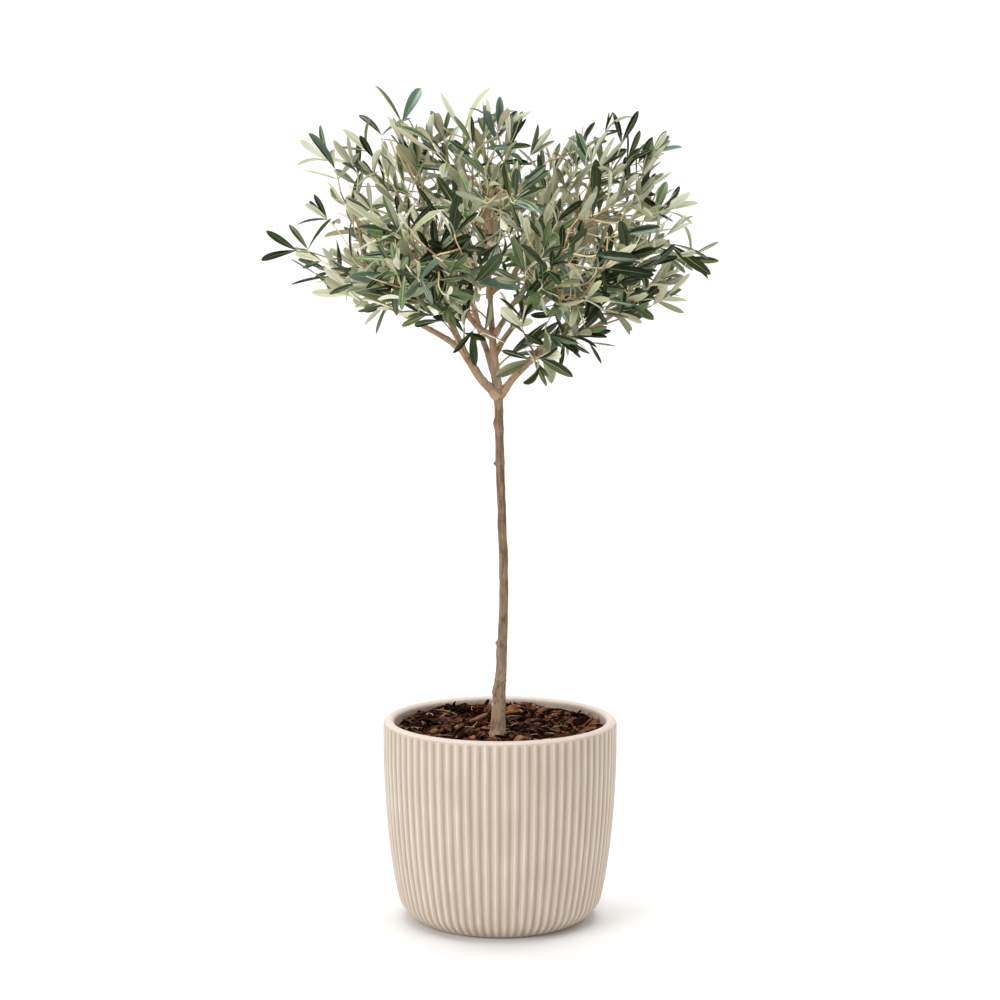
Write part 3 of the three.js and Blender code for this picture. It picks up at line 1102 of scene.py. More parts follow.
@dataclass
class Limb:
    """A bough: a tapering, slightly crooked stem with bark on it.

    Attributes:
        name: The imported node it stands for.
        line: Its middle, from deep inside its parent to its tip.
        half_widths: Its half width at root and tip.
        collar: How much wider it is where it leaves its parent, as a share.
        sway: How far it wanders from its line, as a distance.
        seed: Seeds its wandering and its bark.
        youth: How pale its young bark is, as a share of the foot's paleness.
    """

    name: str
    line: Array
    half_widths: Pair
    collar: float
    sway: float
    seed: int
    youth: float = 0.45

    def crooked(self) -> Array:
        """Its middle line with its wandering: smooth noise along it that is nought at both ends.

        Returns:
            Its points.
        """
        run = arc_length(self.line)
        still = np.sin(math.pi * run / run[-1])
        place = np.stack([run / 0.022, np.full_like(run, 3.7), np.full_like(run, 1.3)], -1)
        wander = np.stack([lattice_noise(place, self.seed + axis) for axis in range(3)], -1)
        return self.line + self.sway * still[:, None] * wander

    def radii(self) -> Array:
        """Its half width at each point: an even taper, and a collar that falls off within 5 mm.

        Returns:
            The half widths.
        """
        run = arc_length(self.line)
        root, tip = self.half_widths
        taper = root + (tip - root) * run / run[-1]
        return taper * (1.0 + self.collar * np.exp(-((np.maximum(run - root, 0.0) / (5 * MM)) ** 2)))

    def knots(self) -> list[Knot]:
        """A swelling near its root, and the marks of old pairs of leaves every 14 to 24 mm.

        Returns:
            The knots.
        """
        rng = np.random.default_rng(self.seed)
        length = arc_length(self.line)[-1]
        heights = np.cumsum(rng.uniform(14 * MM, 24 * MM, 12))
        turns = rng.uniform(0.0, 360.0, 12)
        rings = [Knot(h, None, 0.26 * MM, 1.5 * MM) for h in heights if h < length]
        buds = [Knot(h, t, 0.9 * MM, 1.8 * MM) for h, t in zip(heights, turns) if h < length]
        return [Knot(3.0 * self.half_widths[0], None, 2.6 * self.collar * MM, 2.8 * MM), *rings, *buds]

    def surface(self, sides: int, left: float = 0.0, right: float = 1.0) -> Surface:
        """Its bark: the tube, with lengthwise cracks, lumps and knots raised on it.

        The cracks are where a noise drawn out along the limb crosses zero; the lumps are a rounder noise.
        A knot is a bell over its distance along the limb and round it, and a ring has a faint line of painted
        shade under it. The relief layer holds painted light: highlights on lumps, shade in cracks and
        hollows.

        Args:
            sides: How many points there are round the limb.
            left: Where its strip of the UV square starts.
            right: Where that strip ends.

        Returns:
            The finished surface.
        """
        line, radii = self.crooked(), self.radii()
        run, turn = arc_length(line)[:, None], circle(sides)
        place = polar(radii[:, None], turn, run)
        fissure = layered_noise(place / np.array([1.6, 1.6, 14.0]) / MM, self.seed, 3)
        crack = np.clip(1.0 - 4.5 * np.abs(fissure), 0.0, 1.0)
        lumps = layered_noise(place / np.array([6.0, 6.0, 12.0]) / MM, self.seed + 7, 3)
        bulk = np.clip(radii / (4.5 * MM), 0.35, 1.3)[:, None]
        raised = bulk * MM * (0.26 * lumps - 0.06 * crack + 0.05 * fissure)
        ring = 0.0 * raised
        for knot in self.knots():
            bell = np.exp(-(((run - knot.height) / knot.reach) ** 2))
            if knot.turn is None:
                bell = bell * np.clip(0.6 + 0.8 * lumps, 0.1, 1.0)
                under = (run - knot.height + knot.reach) / (0.6 * knot.reach)
                ring = ring + min(3.2 * knot.rise / MM, 1.0) * bell * np.exp(-(under**2))
            else:
                apart = np.angle(np.exp(1j * (turn - math.radians(knot.turn))))
                bell = bell * np.exp(-((apart * radii[:, None] / knot.reach) ** 2))
            raised = raised + knot.rise * bell
        surface = tube(line, radii[:, None] + raised, sides)
        # The relief layer places painted light: highlights on lumps, shade in cracks, hollows and under
        # rings.
        surface.layers["relief"][:-2] = (0.5 * lumps - 0.5 * crack - ring).reshape(-1)
        # Boughs are paler all along, through the same layer that paints the trunk's foot paler.
        surface.layers["foot"] = np.full(len(surface.points), self.youth)
        across = left + (right - left) * np.linspace(0.02, 0.98, sides + 1)
        surface.corner_uv = strip_uv(across, np.linspace(0.01, 0.99, len(line)))
        return surface

    def at(self, share: float) -> Array:
        """The point of its middle line at a share of its length."""
        run = arc_length(self.line)
        return np.array([np.interp(share * run[-1], run, self.line[:, axis]) for axis in range(3)])


@dataclass
class Trunk(Limb):
    """The clean stem with its root flare, and the leader that goes on from it.

    Attributes:
        flare: How much wider it is at the ground, and `flare_height` how far up that reaches.
        buried: How much of it is below the ground.
        leader_width: Half the width of the leader.
        fork: Where it forks, as a share of its length.
        spurs: The knots and rings that it is known by: height above its lower end, turn, rise and reach, with
            the lengths in millimetres.
    """

    flare: float = 3.3 * MM
    flare_height: float = 70 * MM
    buried: float = 6 * MM
    leader_width: float = 3.7 * MM
    fork: float = 0.865
    spurs: tuple[tuple[float | None, ...], ...] = (
        (14, 205.0, 1.6, 2.6),
        (24, 165.0, 1.1, 2.0),
        (33, 320.0, 0.8, 2.4),
        (57, 182.0, 1.6, 7.0),
        (69, None, 0.5, 1.6),
        (98, 185.0, 0.8, 6.0),
        (107, 184.0, 2.1, 2.2),
        (105, None, 0.3, 2.6),
        (168, 300.0, 0.9, 2.2),
        (226, 250.0, 0.9, 2.2),
        (290, 184.0, 2.6, 1.5),
        (290, None, 0.4, 2.6),
        (331, 192.0, 1.9, 4.2),
        (326, 300.0, 1.2, 3.0),
        (344, None, 0.5, 1.6),
    )

    def radii(self) -> Array:
        """Its half width: it flares at the ground, swells at the fork and narrows to the leader.

        Returns:
            The half widths.
        """
        run = arc_length(self.line)
        above = np.maximum(run - self.buried, 0.0)
        waist, fork = self.half_widths
        flare = self.flare * np.exp(-((above / self.flare_height) ** 1.5))
        swell = (fork - waist) * np.exp(-(((run - self.fork * run[-1]) / (12 * MM)) ** 2))
        leader = (self.leader_width - waist) * smooth(run, 0.88 * run[-1], 0.96 * run[-1])
        return waist + flare + swell + leader

    def knots(self) -> list[Knot]:
        """Its own spurs and rings, and faint rings between them.

        Returns:
            The knots.
        """
        rng = np.random.default_rng(self.seed)
        heights = np.cumsum(rng.uniform(22 * MM, 40 * MM, 12))
        spurs = [Knot(height * MM, turn, rise * MM, reach * MM) for height, turn, rise, reach in self.spurs]
        return [*spurs, *(Knot(h, None, 0.16 * MM, 1.6 * MM) for h in heights)]

    def surface(self, sides: int, left: float = 0.0, right: float = 1.0) -> Surface:
        """Its bark, with five blunt root spurs round the foot, furrows that run up from them, and a foot
        painted paler as painted light.

        Args:
            sides: How many points there are round the limb.
            left: Where its strip of the UV square starts.
            right: Where that strip ends.

        Returns:
            The finished surface.
        """
        surface = super().surface(sides, left, right)
        middle, turn = self.crooked(), circle(sides)
        body = surface.points[:-2].reshape(len(middle), sides, 3)
        above = np.maximum(arc_length(middle) - self.buried, 0.0)[:, None]
        lobes = 0.13 * np.cos(5 * turn + 0.8) + 0.10 * np.cos(2 * turn + 2.1)
        furrows = 0.035 * np.cos(9 * turn + 0.3) + 0.03 * np.cos(14 * turn + 40.0 * above)
        spread = 1.0 + lobes * np.exp(-above / (9 * MM)) + furrows * np.exp(-above / (40 * MM))
        body[:] = middle[:, None] + (body - middle[:, None]) * spread[..., None]
        # Painted light: the foot layer makes the trunk paler towards the ground, where it stands in shade,
        # fading out over about 75 mm; towards the fork and up the leader it is paler as young bark.
        young = smooth(above, 0.8 * above[-1, 0], 0.88 * above[-1, 0])
        pale = np.exp(-((above / (75 * MM)) ** 1.5)) + self.youth * young + 0 * turn
        surface.layers["foot"][:-2] = pale.reshape(-1)
        return surface


@dataclass(frozen=True)
class Bough:
    """The plan of one bough.

    Attributes:
        parent: The limb it leaves.
        share: Where along that limb it leaves.
        tip: Where it ends, in millimetres.
        bow: How far its middle lies above the straight line, in millimetres.
        widths: Its half width at root and tip, in millimetres.
        collar: How much wider it is at its root, as a share.
    """

    parent: str
    share: float
    tip: Triple
    bow: float
    widths: Pair
    collar: float = 0.22


@dataclass
class Framework:
    """The trunk and its boughs.

    Attributes:
        stem: The points that the trunk's middle runs through, in millimetres, from just below the ground.
        stem_widths: Half the width of the clean stem and at the fork.
        boughs: The boughs by node name; the first goes on from the trunk as its leader.
        spacing: The distance between two rings of a limb.
        trunk_sides: How many sides the trunk has, and `bough_sides` a bough.
        seed: Seeds the limbs.
        limbs: The limbs that are laid out.
    """

    stem: tuple[Triple, ...] = (
        (-3.2, -20.2, 182),
        (-2.6, -19.8, 200),
        (-0.6, -18.8, 232),
        (2.2, -17.0, 285),
        (3.9, -13.6, 350),
        (1.9, -11.2, 420),
        (-0.4, -9.2, 495),
        (-1.4, -8.0, 546),
    )
    stem_widths: Pair = (4.5 * MM, 5.2 * MM)
    boughs: dict[str, Bough] = field(default_factory=lambda: {
        "bough_leader": Bough("trunk", 0.97, (-8, -6, 602), 0, (4.4, 3.6)),
        "bough_left": Bough("trunk", 0.985, (-39, -22, 590), -5.0, (4.6, 3.9), 0.5),
        "bough_right": Bough("trunk", 0.98, (104, 18, 636), 10, (3.9, 2.4), 0.3),
        "bough_back": Bough("bough_leader", 0.25, (-34, 96, 652), -4, (3.7, 2.4)),
        "bough_left_outer": Bough("bough_left", 0.95, (-128, -30, 638), 3, (3.2, 2.0)),
        "bough_left_upper": Bough("bough_left", 0.95, (-66, -2, 650), 0, (3.4, 2.3)),
        "bough_leader_left": Bough("bough_leader", 0.95, (-46, -48, 638), -2, (3.2, 2.2)),
        "bough_leader_upper": Bough("bough_leader", 0.96, (-14, 8, 676), 0, (3.1, 2.2)),
        "bough_leader_right": Bough("bough_leader", 0.93, (34, -52, 668), 0, (3.0, 2.0)),
        "bough_right_back": Bough("bough_leader", 0.68, (48, 66, 656), 3, (3.0, 2.0)),
        "bough_right_low": Bough("bough_right", 0.42, (122, -18, 628), -4, (2.6, 1.8)),
        "bough_right_front": Bough("bough_right", 0.25, (47, -38, 588), 0, (2.2, 1.6)),
    })
    spacing: float = 1.2 * MM
    trunk_sides: int = 40
    bough_sides: int = 24
    seed: int = 41
    limbs: dict[str, Limb] = field(default_factory=dict)

    def plan(self) -> None:
        """Lay out the trunk and every bough, each from a point on the limb it leaves."""
        stem = spline(np.array(self.stem) * MM, self.spacing)
        self.limbs["trunk"] = Limb("trunk", stem, self.stem_widths, 0.0, 0.0, self.seed)
        for number, (name, bough) in enumerate(self.boughs.items()):
            root = self.limbs[bough.parent].at(bough.share)
            tip = np.array(bough.tip) * MM
            middle = (root + tip) / 2 + 2 * bough.bow * MM * UP
            line = resampled(arc(root, middle, tip, 60), self.spacing)
            widths = (bough.widths[0] * MM, bough.widths[1] * MM)
            seed = self.seed + 31 * number
            self.limbs[name] = Limb(name, line, widths, bough.collar, 1.6 * MM, seed)

    def build(self) -> None:
        """Lay out the limbs, then make the trunk and its leader one piece and the other boughs another.

        The trunk's middle is drawn anew through every twelfth point of the stem, up to just below the fork,
        and of the leader, so that the one runs on into the other.
        """
        self.plan()
        bark = Bark().material()
        stem, leader = self.limbs["trunk"].line, self.limbs["bough_leader"].line
        below = stem[: int(0.965 * len(stem))]
        whole = spline(np.concatenate([below[::12], leader[8::12], leader[-1:]]), self.spacing)
        trunk = Trunk("trunk", whole, self.stem_widths, 0.0, 0.5 * MM, self.seed)
        piece = trunk.surface(self.trunk_sides).to_object("trunk_and_leader", [bark])
        dress(piece, "bark", "trunk", "bough_leader")
        others = [limb for name, limb in self.limbs.items() if name not in ("trunk", "bough_leader")]
        edges = np.linspace(0.0, 1.0, len(others) + 1)
        boughs = joined([b.surface(self.bough_sides, *edges[n : n + 2]) for n, b in enumerate(others)])
        dress(boughs.to_object("boughs", [bark]), "bark", *(limb.name for limb in others))


# ---- colours of the crown


class Tone(IntEnum):
    """The tones of a leaf's upper side, as places in the lists of tints and of the sprays they prevail in."""

    DEEP = 0
    DARK = 1
    GREEN = 2
    GREY = 3
    BLUE = 4
    FRESH = 5
    YOUNG = 6


class Under(IntEnum):
    """The tones of a leaf's under side, as places in the list of tints."""

    SAGE = 0
    SILVER = 1
    BEIGE = 2
    PALE = 3


class Age(IntEnum):
    """How old a piece of a twig is, as a place in the list of twig tints."""

    OLD = 0
    GROWN = 1
    YOUNG = 2


@dataclass(frozen=True)
class Spray:
    """The tones of one spray of leaves, each as likely as it is often named.

    Attributes:
        share: The share of the sprays that are like this.
        uppers: The tones of the upper sides.
        unders: The tones of the under sides.
    """

    share: float
    uppers: tuple[Tone, ...]
    unders: tuple[Under, ...]


UPPER_TINTS = (
    Tint("leaf_deep", (27, 38, 11), 0.36, 0.12),
    Tint("leaf_dark", (50, 64, 30), 0.33, 0.32),
    Tint("leaf_green", (95, 111, 68), 0.34, 0.45),
    Tint("leaf_grey_green", (156, 160, 130), 0.42),
    Tint("leaf_blue_green", (92, 116, 96), 0.34),
    Tint("leaf_fresh", (98, 122, 66), 0.38),
    Tint("leaf_young", (192, 197, 158), 0.5),
)
# Painted shade: the darker tone for one half of a leaf's upper side, as if its fold turned that half from the
# light.
SHADED_TONES = (Tone.DEEP, Tone.DEEP, Tone.DARK, Tone.GREEN, Tone.DARK, Tone.GREEN, Tone.GREY)
UNDER_TINTS = (
    Tint("leaf_back_sage", (178, 178, 144), 0.65, 0.35),
    Tint("leaf_back_silver", (226, 226, 198), 0.65, 0.35),
    Tint("leaf_back_beige", (204, 198, 168), 0.65, 0.35),
    Tint("leaf_back_pale", (236, 237, 214), 0.65, 0.35),
)
RIB_TINTS = (
    Tint("leaf_rib", (120, 134, 96), 0.5),
    Tint("leaf_rib_pale", (206, 206, 168), 0.55),
)
TWIG_TINTS = (
    Tint("twig_old", (168, 140, 108), 0.7),
    Tint("twig", (218, 196, 152), 0.65),
    Tint("twig_green", (226, 218, 170), 0.6),
)
SPRAYS = (
    Spray(0.14, (Tone.DEEP, Tone.DEEP, Tone.DARK), (Under.SAGE, Under.SILVER)),
    Spray(0.22, (Tone.DARK, Tone.DARK, Tone.GREEN, Tone.DEEP), (Under.SAGE, Under.SILVER, Under.SILVER)),
    Spray(0.22, (Tone.GREEN, Tone.GREEN, Tone.GREY, Tone.DARK), (Under.SILVER, Under.SILVER, Under.BEIGE)),
    Spray(0.16, (Tone.GREY, Tone.BLUE, Tone.GREY, Tone.GREEN), (Under.SILVER, Under.BEIGE, Under.PALE)),
    Spray(0.12, (Tone.BLUE, Tone.BLUE, Tone.GREY, Tone.DARK), (Under.SILVER, Under.SAGE, Under.BEIGE)),
    Spray(0.06, (Tone.FRESH, Tone.GREEN, Tone.FRESH, Tone.GREY), (Under.SILVER, Under.BEIGE)),
    Spray(0.08, (Tone.YOUNG, Tone.YOUNG, Tone.GREY, Tone.FRESH), (Under.PALE, Under.PALE, Under.BEIGE)),
)


# ---- growth of the crown


@dataclass
class Mass:
    """The space that one mass of foliage takes up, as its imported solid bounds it.

    Attributes:
        name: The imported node.
        middle: The solid's middle.
        triangles: The corners of its triangles, from the middle.
        headings: The directions of its corners from the middle.
        reaches: How far away those corners are.
    """

    name: str
    middle: Array
    triangles: Array
    headings: Array
    reaches: Array

    @classmethod
    def packed(cls, name: str) -> "Mass":
        """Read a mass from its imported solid.

        Args:
            name: The node.

        Returns:
            The mass.
        """
        mesh = frame["nodes"][name].data
        mesh.calc_loop_triangles()
        corners = np.empty(3 * len(mesh.vertices), np.float32)
        indices = np.empty(3 * len(mesh.loop_triangles), np.int32)
        mesh.vertices.foreach_get("co", corners)
        mesh.loop_triangles.foreach_get("vertices", indices)
        corners = corners.reshape(-1, 3).astype(float)
        low, high = corners.min(0), corners.max(0)
        middle = (np.median(corners, 0) + (low + high) / 2) / 2
        away = corners - middle
        return cls(name, middle, away[indices.reshape(-1, 3)], unit(away), np.linalg.norm(away, axis=-1))

    def volume(self) -> float:
        """The room inside it."""
        return float(np.abs(np.linalg.det(self.triangles)).sum() / 6)

    def sample(self, rng: Random, count: int, low: float, high: float) -> Array:
        """Choose places in it: a place on its surface, drawn in to a random share of the way out.

        Args:
            rng: The stream of random numbers.
            count: How many places.
            low: The least share.
            high: The greatest share.

        Returns:
            The places.
        """
        weight = np.abs(np.linalg.det(self.triangles))
        chosen = rng.choice(len(weight), count, p=weight / weight.sum())
        mix = rng.dirichlet((1.0, 1.0, 1.0), count)
        surface = (mix[..., None] * self.triangles[chosen]).sum(1)
        share = rng.uniform(low**3, high**3, (count, 1)) ** (1 / 3)
        return self.middle + surface * share

    def share(self, places: Array) -> Array:
        """How far out places lie: 0 in the middle, 1 on the solid's surface and more beyond it.

        The surface's distance in a direction is the mean of its corners' distances, each weighted by how
        closely the corner lies in that direction.

        Args:
            places: The places.

        Returns:
            Their shares of the way out.
        """
        away = places - self.middle
        distance = np.linalg.norm(away, axis=-1)
        closeness = np.exp(90.0 * (unit(away) @ self.headings.T - 1.0))
        reach = (closeness * self.reaches).sum(-1) / np.maximum(closeness.sum(-1), 1e-30)
        return distance / np.maximum(reach, 1e-6)


@dataclass(frozen=True)
class Accent:
    """A shoot that stands out of the crown.

    Attributes:
        mass: The mass whose shoot it is, by its node's name without "foliage_".
        tip: Where the shoot ends, in millimetres.
        heading: The way its end points.
        pairs: How many pairs of leaves it bears.
        gathered: The distance between its pairs, as a share of the usual; it narrows their fan too.
        size: The length of its leaves, as a share of the usual.
        tone: The spray of leaves that it bears.
        reach: Its own length, as a share of the usual.
    """

    mass: str
    tip: Triple
    heading: Triple
    pairs: int
    gathered: float
    size: float
    tone: Tone
    reach: float = 1.0


ACCENTS = tuple(Accent(*row) for row in (
    ("left_low", (-203, -14, 686), (-1, 0, 0.5), 1, 0.9, 1, Tone.DARK),
    ("left_low", (-192, -14, 687), (0, 0, 1), 1, 1, 1.05, Tone.DARK),
    ("left_low", (-178, -16, 676), (-0.3, 0, -1), 2, 0.9, 0.8, Tone.GREEN),
    ("left_high", (-172, -4, 775), (-1, 0, 0.1), 3, 1, 0.95, Tone.GREY),
    ("left_high", (-146, -6, 768), (-0.6, 0, 0.5), 3, 0.9, 0.95, Tone.DARK),
    ("left_high", (-173, -8, 717), (-1, 0, 0.5), 2, 0.8, 0.9, Tone.DEEP),
    ("left_low", (-138, -30, 664), (-1, 0, -0.35), 3, 1, 0.9, Tone.DARK),
    ("left_low", (-112, -42, 634), (-0.8, -0.2, -0.6), 3, 0.8, 0.85, Tone.DARK),
    ("front_left", (-72, -60, 624), (-0.9, -0.3, -0.3), 3, 0.8, 0.9, Tone.GREEN),
    ("front_left", (-38, -62, 618), (-0.7, -0.4, -0.4), 3, 0.8, 1, Tone.DEEP),
    ("top_left", (-132, -8, 784), (-0.7, 0, 0.8), 2, 0.9, 0.85, Tone.DARK),
    ("top_left", (-118, -6, 800), (0.1, 0, 1), 1, 1, 1.05, Tone.DARK),
    ("top_left", (-96, -8, 790), (0.2, 0, 1), 2, 0.9, 0.85, Tone.GREEN),
    ("top_left", (-98, 4, 812), (-0.12, 0, 1), 1, 0.7, 1.2, Tone.GREY),
    ("top", (-56, -2, 796), (-0.35, 0, 1), 2, 0.8, 0.9, Tone.GREEN),
    ("top", (-36, -4, 803), (-0.3, 0, 1), 1, 0.9, 1.5, Tone.YOUNG),
    ("top", (-14, -8, 804), (0.1, 0, 1), 3, 0.8, 0.95, Tone.GREY),
    ("top", (-2, -6, 804), (0.4, 0, 1), 3, 0.9, 0.95, Tone.BLUE),
    ("top", (10, -8, 792), (0.25, 0, 1), 3, 0.9, 0.95, Tone.DARK),
    ("top", (30, -6, 780), (0.5, 0, 1), 2, 0.9, 1, Tone.GREY),
    ("top_right", (76, -12, 770), (0, 0, 1), 2, 0.9, 0.95, Tone.GREEN),
    ("top_right", (100, -14, 768), (0.3, 0, 1), 3, 0.9, 0.9, Tone.DARK),
    ("top_right", (80, -2, 784), (-0.1, 0, 1), 2, 0.9, 0.7, Tone.BLUE),
    ("top_right", (105, 0, 804), (-0.1, 0, 1), 3, 1.3, 0.55, Tone.DARK),
    ("top_right", (121, -8, 792), (0.2, 0, 1), 1, 1, 1.1, Tone.DEEP),
    ("right_high", (142, -10, 762), (0.1, 0, 1), 3, 0.9, 0.9, Tone.GREEN),
    ("right_high", (136, -12, 738), (0.5, 0, 0.9), 2, 0.9, 0.9, Tone.DARK),
    ("right_high", (126, -8, 772), (0, 0, 1), 3, 0.9, 0.9, Tone.DARK),
    ("right_high", (152, 2, 782), (0.1, 0, 1), 3, 0.9, 0.85, Tone.BLUE),
    ("right_low", (168, -14, 693), (0.9, 0, -0.42), 1, 1, 1.4, Tone.GREEN),
    ("right_high", (164, -8, 726), (1, 0, 0.5), 2, 0.8, 1, Tone.DEEP),
    ("right_low", (180, -8, 678), (0.9, 0, -0.35), 3, 0.8, 1.05, Tone.GREEN),
    ("right_low", (192, 10, 680), (0.35, 0, 0.9), 1, 0.8, 0.95, Tone.FRESH),
    ("right_low", (112, -34, 626), (0.8, -0.1, -0.5), 3, 0.8, 0.9, Tone.GREEN),
    ("right_low", (152, -26, 638), (0.9, -0.1, -0.4), 3, 0.8, 0.9, Tone.GREEN),
    ("low_spray", (38, -58, 582), (1, -0.1, 0), 1, 0.1, 1.6, Tone.GREEN, 0.7),
    ("low_spray", (37, -60, 580), (0.78, -0.1, -0.6), 1, 0.1, 1.5, Tone.DARK, 0.7),
    ("low_spray", (34, -60, 579), (0.2, -0.1, -1), 1, 0.1, 0.95, Tone.GREEN, 0.7),
    ("low_spray", (30, -60, 580), (-0.97, -0.1, -0.1), 1, 0.1, 1.3, Tone.GREEN, 0.5),
    ("low_spray", (-16, -56, 606), (0.86, -0.2, -0.5), 1, 0.8, 1, Tone.GREEN, 0.5),
    ("front_left", (-27, -56, 608), (-0.7, -0.2, -0.7), 1, 0.8, 1, Tone.DARK, 0.5),
    ("low_spray", (22, -50, 618), (0.3, -0.3, 0.8), 3, 0.7, 1, Tone.DARK, 0.5),
    ("low_spray", (74, -52, 604), (1, -0.1, 0.3), 3, 0.8, 1.05, Tone.DARK, 0.6),
    ("low_spray", (88, -44, 596), (0.35, -0.1, -0.95), 1, 0.8, 0.8, Tone.GREEN, 0.5),
))


@dataclass
class Stem:
    """A twig or shoot.

    Attributes:
        line: The points of its middle, from inside the stem that it leaves.
        parent: The number of that stem, or -1 for a bough.
        joint: The number of the point there that it leaves from.
        leafy: Whether it is a leafy shoot.
        mass: The number of the mass that it grows in.
        accent: The accent that it was grown for, if any.
        load: How many shoots each of its points carries, itself included.
    """

    line: Array
    parent: int
    joint: int
    leafy: bool
    mass: int
    accent: Accent | None = None
    load: Array | None = None


@dataclass(frozen=True)
class Generation:
    """Twigs or shoots: how many, how far out of a mass they end (as shares), and how far apart."""

    count: int
    low: float
    high: float
    room: float
    leafy: bool


@dataclass
class Growth:
    """The branching rule: twigs fill each mass from the boughs outwards, and shoots fill it from the twigs.

    A stem grows to a target in the mass, from the point that costs least: its distance, a share of the way
    back to the fork, and some tolls.

    Attributes:
        framework: The trunk and boughs.
        twigs: The twigs, `shoots` the leafy shoots and `accents` those of them that stand out.
        turn_toll: The toll for turning back on the stem that it leaves, from the cosine `straight` down.
        low_toll: The toll for leaving from the first `low_share` of a stem.
        near_toll: The toll for leaving closer to the target than `near`.
        way_back: The share of the way back to the fork that counts.
        whim: The most that chance adds.
        tries: How many places are tried for each target.
        shoot_length: How long a shoot would rather be, and `shoot_reach` the longest that it grows.
        patience: How much longer one that stands out may grow.
        firmness: How firmly its end keeps to its heading.
        core: The point that the crown spreads from.
        step: The distance between two points of a stem.
        leaf: The length of a full leaf, by which shoots stop short of the crown's outside.
        lift: How far a shoot turns up, how much more in the top of the crown and how much less beneath it.
        upper_crown: The heights between which the top begins, and `lower_crown` those where the foot ends.
        heart: The middle of the crown, where shoots have died back for want of light.
        spread: Half the crown's width, depth and height.
        inner: The share of the shoots that are left there.
        unruly: How far the end of a stem turns from its habit, as a spread on a unit vector.
        wave: How far a stem winds off its curve, and `bow` how far it bows, as spreads.
        twig_load: What a bare twig counts for, in shoots.
        seed: Seeds everything, through `rng`.
        masses: The masses by number, and `stems` the stems, with the boughs first.
    """

    framework: Framework
    twigs: Generation = Generation(130, 0.2, 0.78, 28 * MM, False)
    shoots: Generation = Generation(252, 0.3, 1.0, 21 * MM, True)
    accents: tuple[Accent, ...] = ACCENTS
    turn_toll: float = 80 * MM
    straight: float = 0.6
    low_toll: float = 45 * MM
    low_share: float = 0.15
    near_toll: float = 60 * MM
    near: float = 22 * MM
    way_back: float = 0.12
    whim: float = 8 * MM
    tries: int = 60
    shoot_length: float = 62 * MM
    shoot_reach: float = 115 * MM
    patience: float = 1.6
    firmness: float = 2.5
    core: Triple = (0.0, 0.0, 640 * MM)
    step: float = 5 * MM
    leaf: float = 46 * MM
    lift: Triple = (0.4, 1.2, 0.65)
    upper_crown: Pair = (0.65, 0.76)
    lower_crown: Pair = (0.58, 0.65)
    heart: Triple = (-8 * MM, 0.0, 705 * MM)
    spread: Triple = (245 * MM, 195 * MM, 145 * MM)
    inner: float = 0.34
    unruly: float = 0.3
    wave: float = 1.1 * MM
    bow: float = 1.6 * MM
    twig_load: float = 0.6
    seed: int = 7
    rng: Random = field(init=False)
    masses: list[Mass] = field(default_factory=list)
    stems: list[Stem] = field(default_factory=list)

    def grow(self) -> None:
        """Grow the whole crown: boughs, twigs, shoots, then the loads that they carry."""
        self.rng = np.random.default_rng(self.seed)
        names = [name for name in sorted(frame["nodes"]) if name.startswith("foliage")]
        self.masses = [Mass.packed(name) for name in names]
        boughs = [limb for name, limb in self.framework.limbs.items() if name != "trunk"]
        self.stems = [Stem(resampled(bough.line, self.step), -1, 0, False, -1) for bough in boughs]
        self.reach_out(self.twigs)
        for accent in self.accents:
            heading = self.firmness * unit(np.array(accent.heading, float))
            self.add(np.array(accent.tip) * MM, heading, names.index(f"foliage_{accent.mass}"), True, accent)
        self.reach_out(self.shoots)
        self.weigh()

    def habit(self, place: Array) -> Array:
        """The way that a shoot heads in a place: outwards, upright in the top and nodding under the crown.

        Args:
            place: The place.

        Returns:
            The heading.
        """
        outward = unit(place - np.array(self.core))
        upright, nodding = smooth(place[2:], *self.upper_crown), 1.0 - smooth(place[2:], *self.lower_crown)
        lift = self.lift[0] + self.lift[1] * upright - self.lift[2] * nodding
        return unit(outward + lift * UP)

    def targets(self, generation: Generation, mass: Mass, wanted: int, taken: list[Array]) -> list[Array]:
        """Choose where the stems in one mass end.

        Args:
            generation: The generation that they belong to.
            mass: The mass.
            wanted: How many there are to be, before any have died back.
            taken: The ends in other masses.

        Returns:
            The ends.
        """
        places = mass.sample(self.rng, self.tries * wanted, generation.low, generation.high)
        if generation.leafy:
            depth = np.linalg.norm((places - np.array(self.heart)) / np.array(self.spread), axis=-1)
            chance = self.inner + (1.0 - self.inner) * smooth(depth, 0.4, 0.8)
            wanted = max(2, round(wanted * float(chance.mean())))
            ends = places + 0.85 * self.leaf * np.array([self.habit(place) for place in places])
            held = np.min([other.share(ends) for other in self.masses], 0) < 1.0
            places = places[held & (self.rng.uniform(0.0, 1.0, len(places)) < chance)]
        kept: list[Array] = []
        for place in places:
            others = np.array(kept + taken).reshape(-1, 3)
            if np.all(np.linalg.norm(others - place, axis=-1) > generation.room):
                kept.append(place)
            if len(kept) == wanted:
                break
        return kept

    def reach_out(self, generation: Generation) -> None:
        """Grow one generation of stems into all the masses, nearest to the fork first.

        Args:
            generation: The generation.
        """
        volumes = np.array([mass.volume() for mass in self.masses])
        targets, owners = [], []
        for number, mass in enumerate(self.masses):
            wanted = max(3, round(generation.count * volumes[number] / volumes.sum()))
            kept = self.targets(generation, mass, wanted, targets)
            targets += kept
            owners += [number] * len(kept)
        distance = [np.linalg.norm(target - np.array(self.core)) for target in targets]
        for index in np.argsort(distance):
            heading = unit(self.habit(targets[index]) + self.rng.normal(0.0, self.unruly, 3))
            self.add(targets[index], heading, owners[index], generation.leafy)

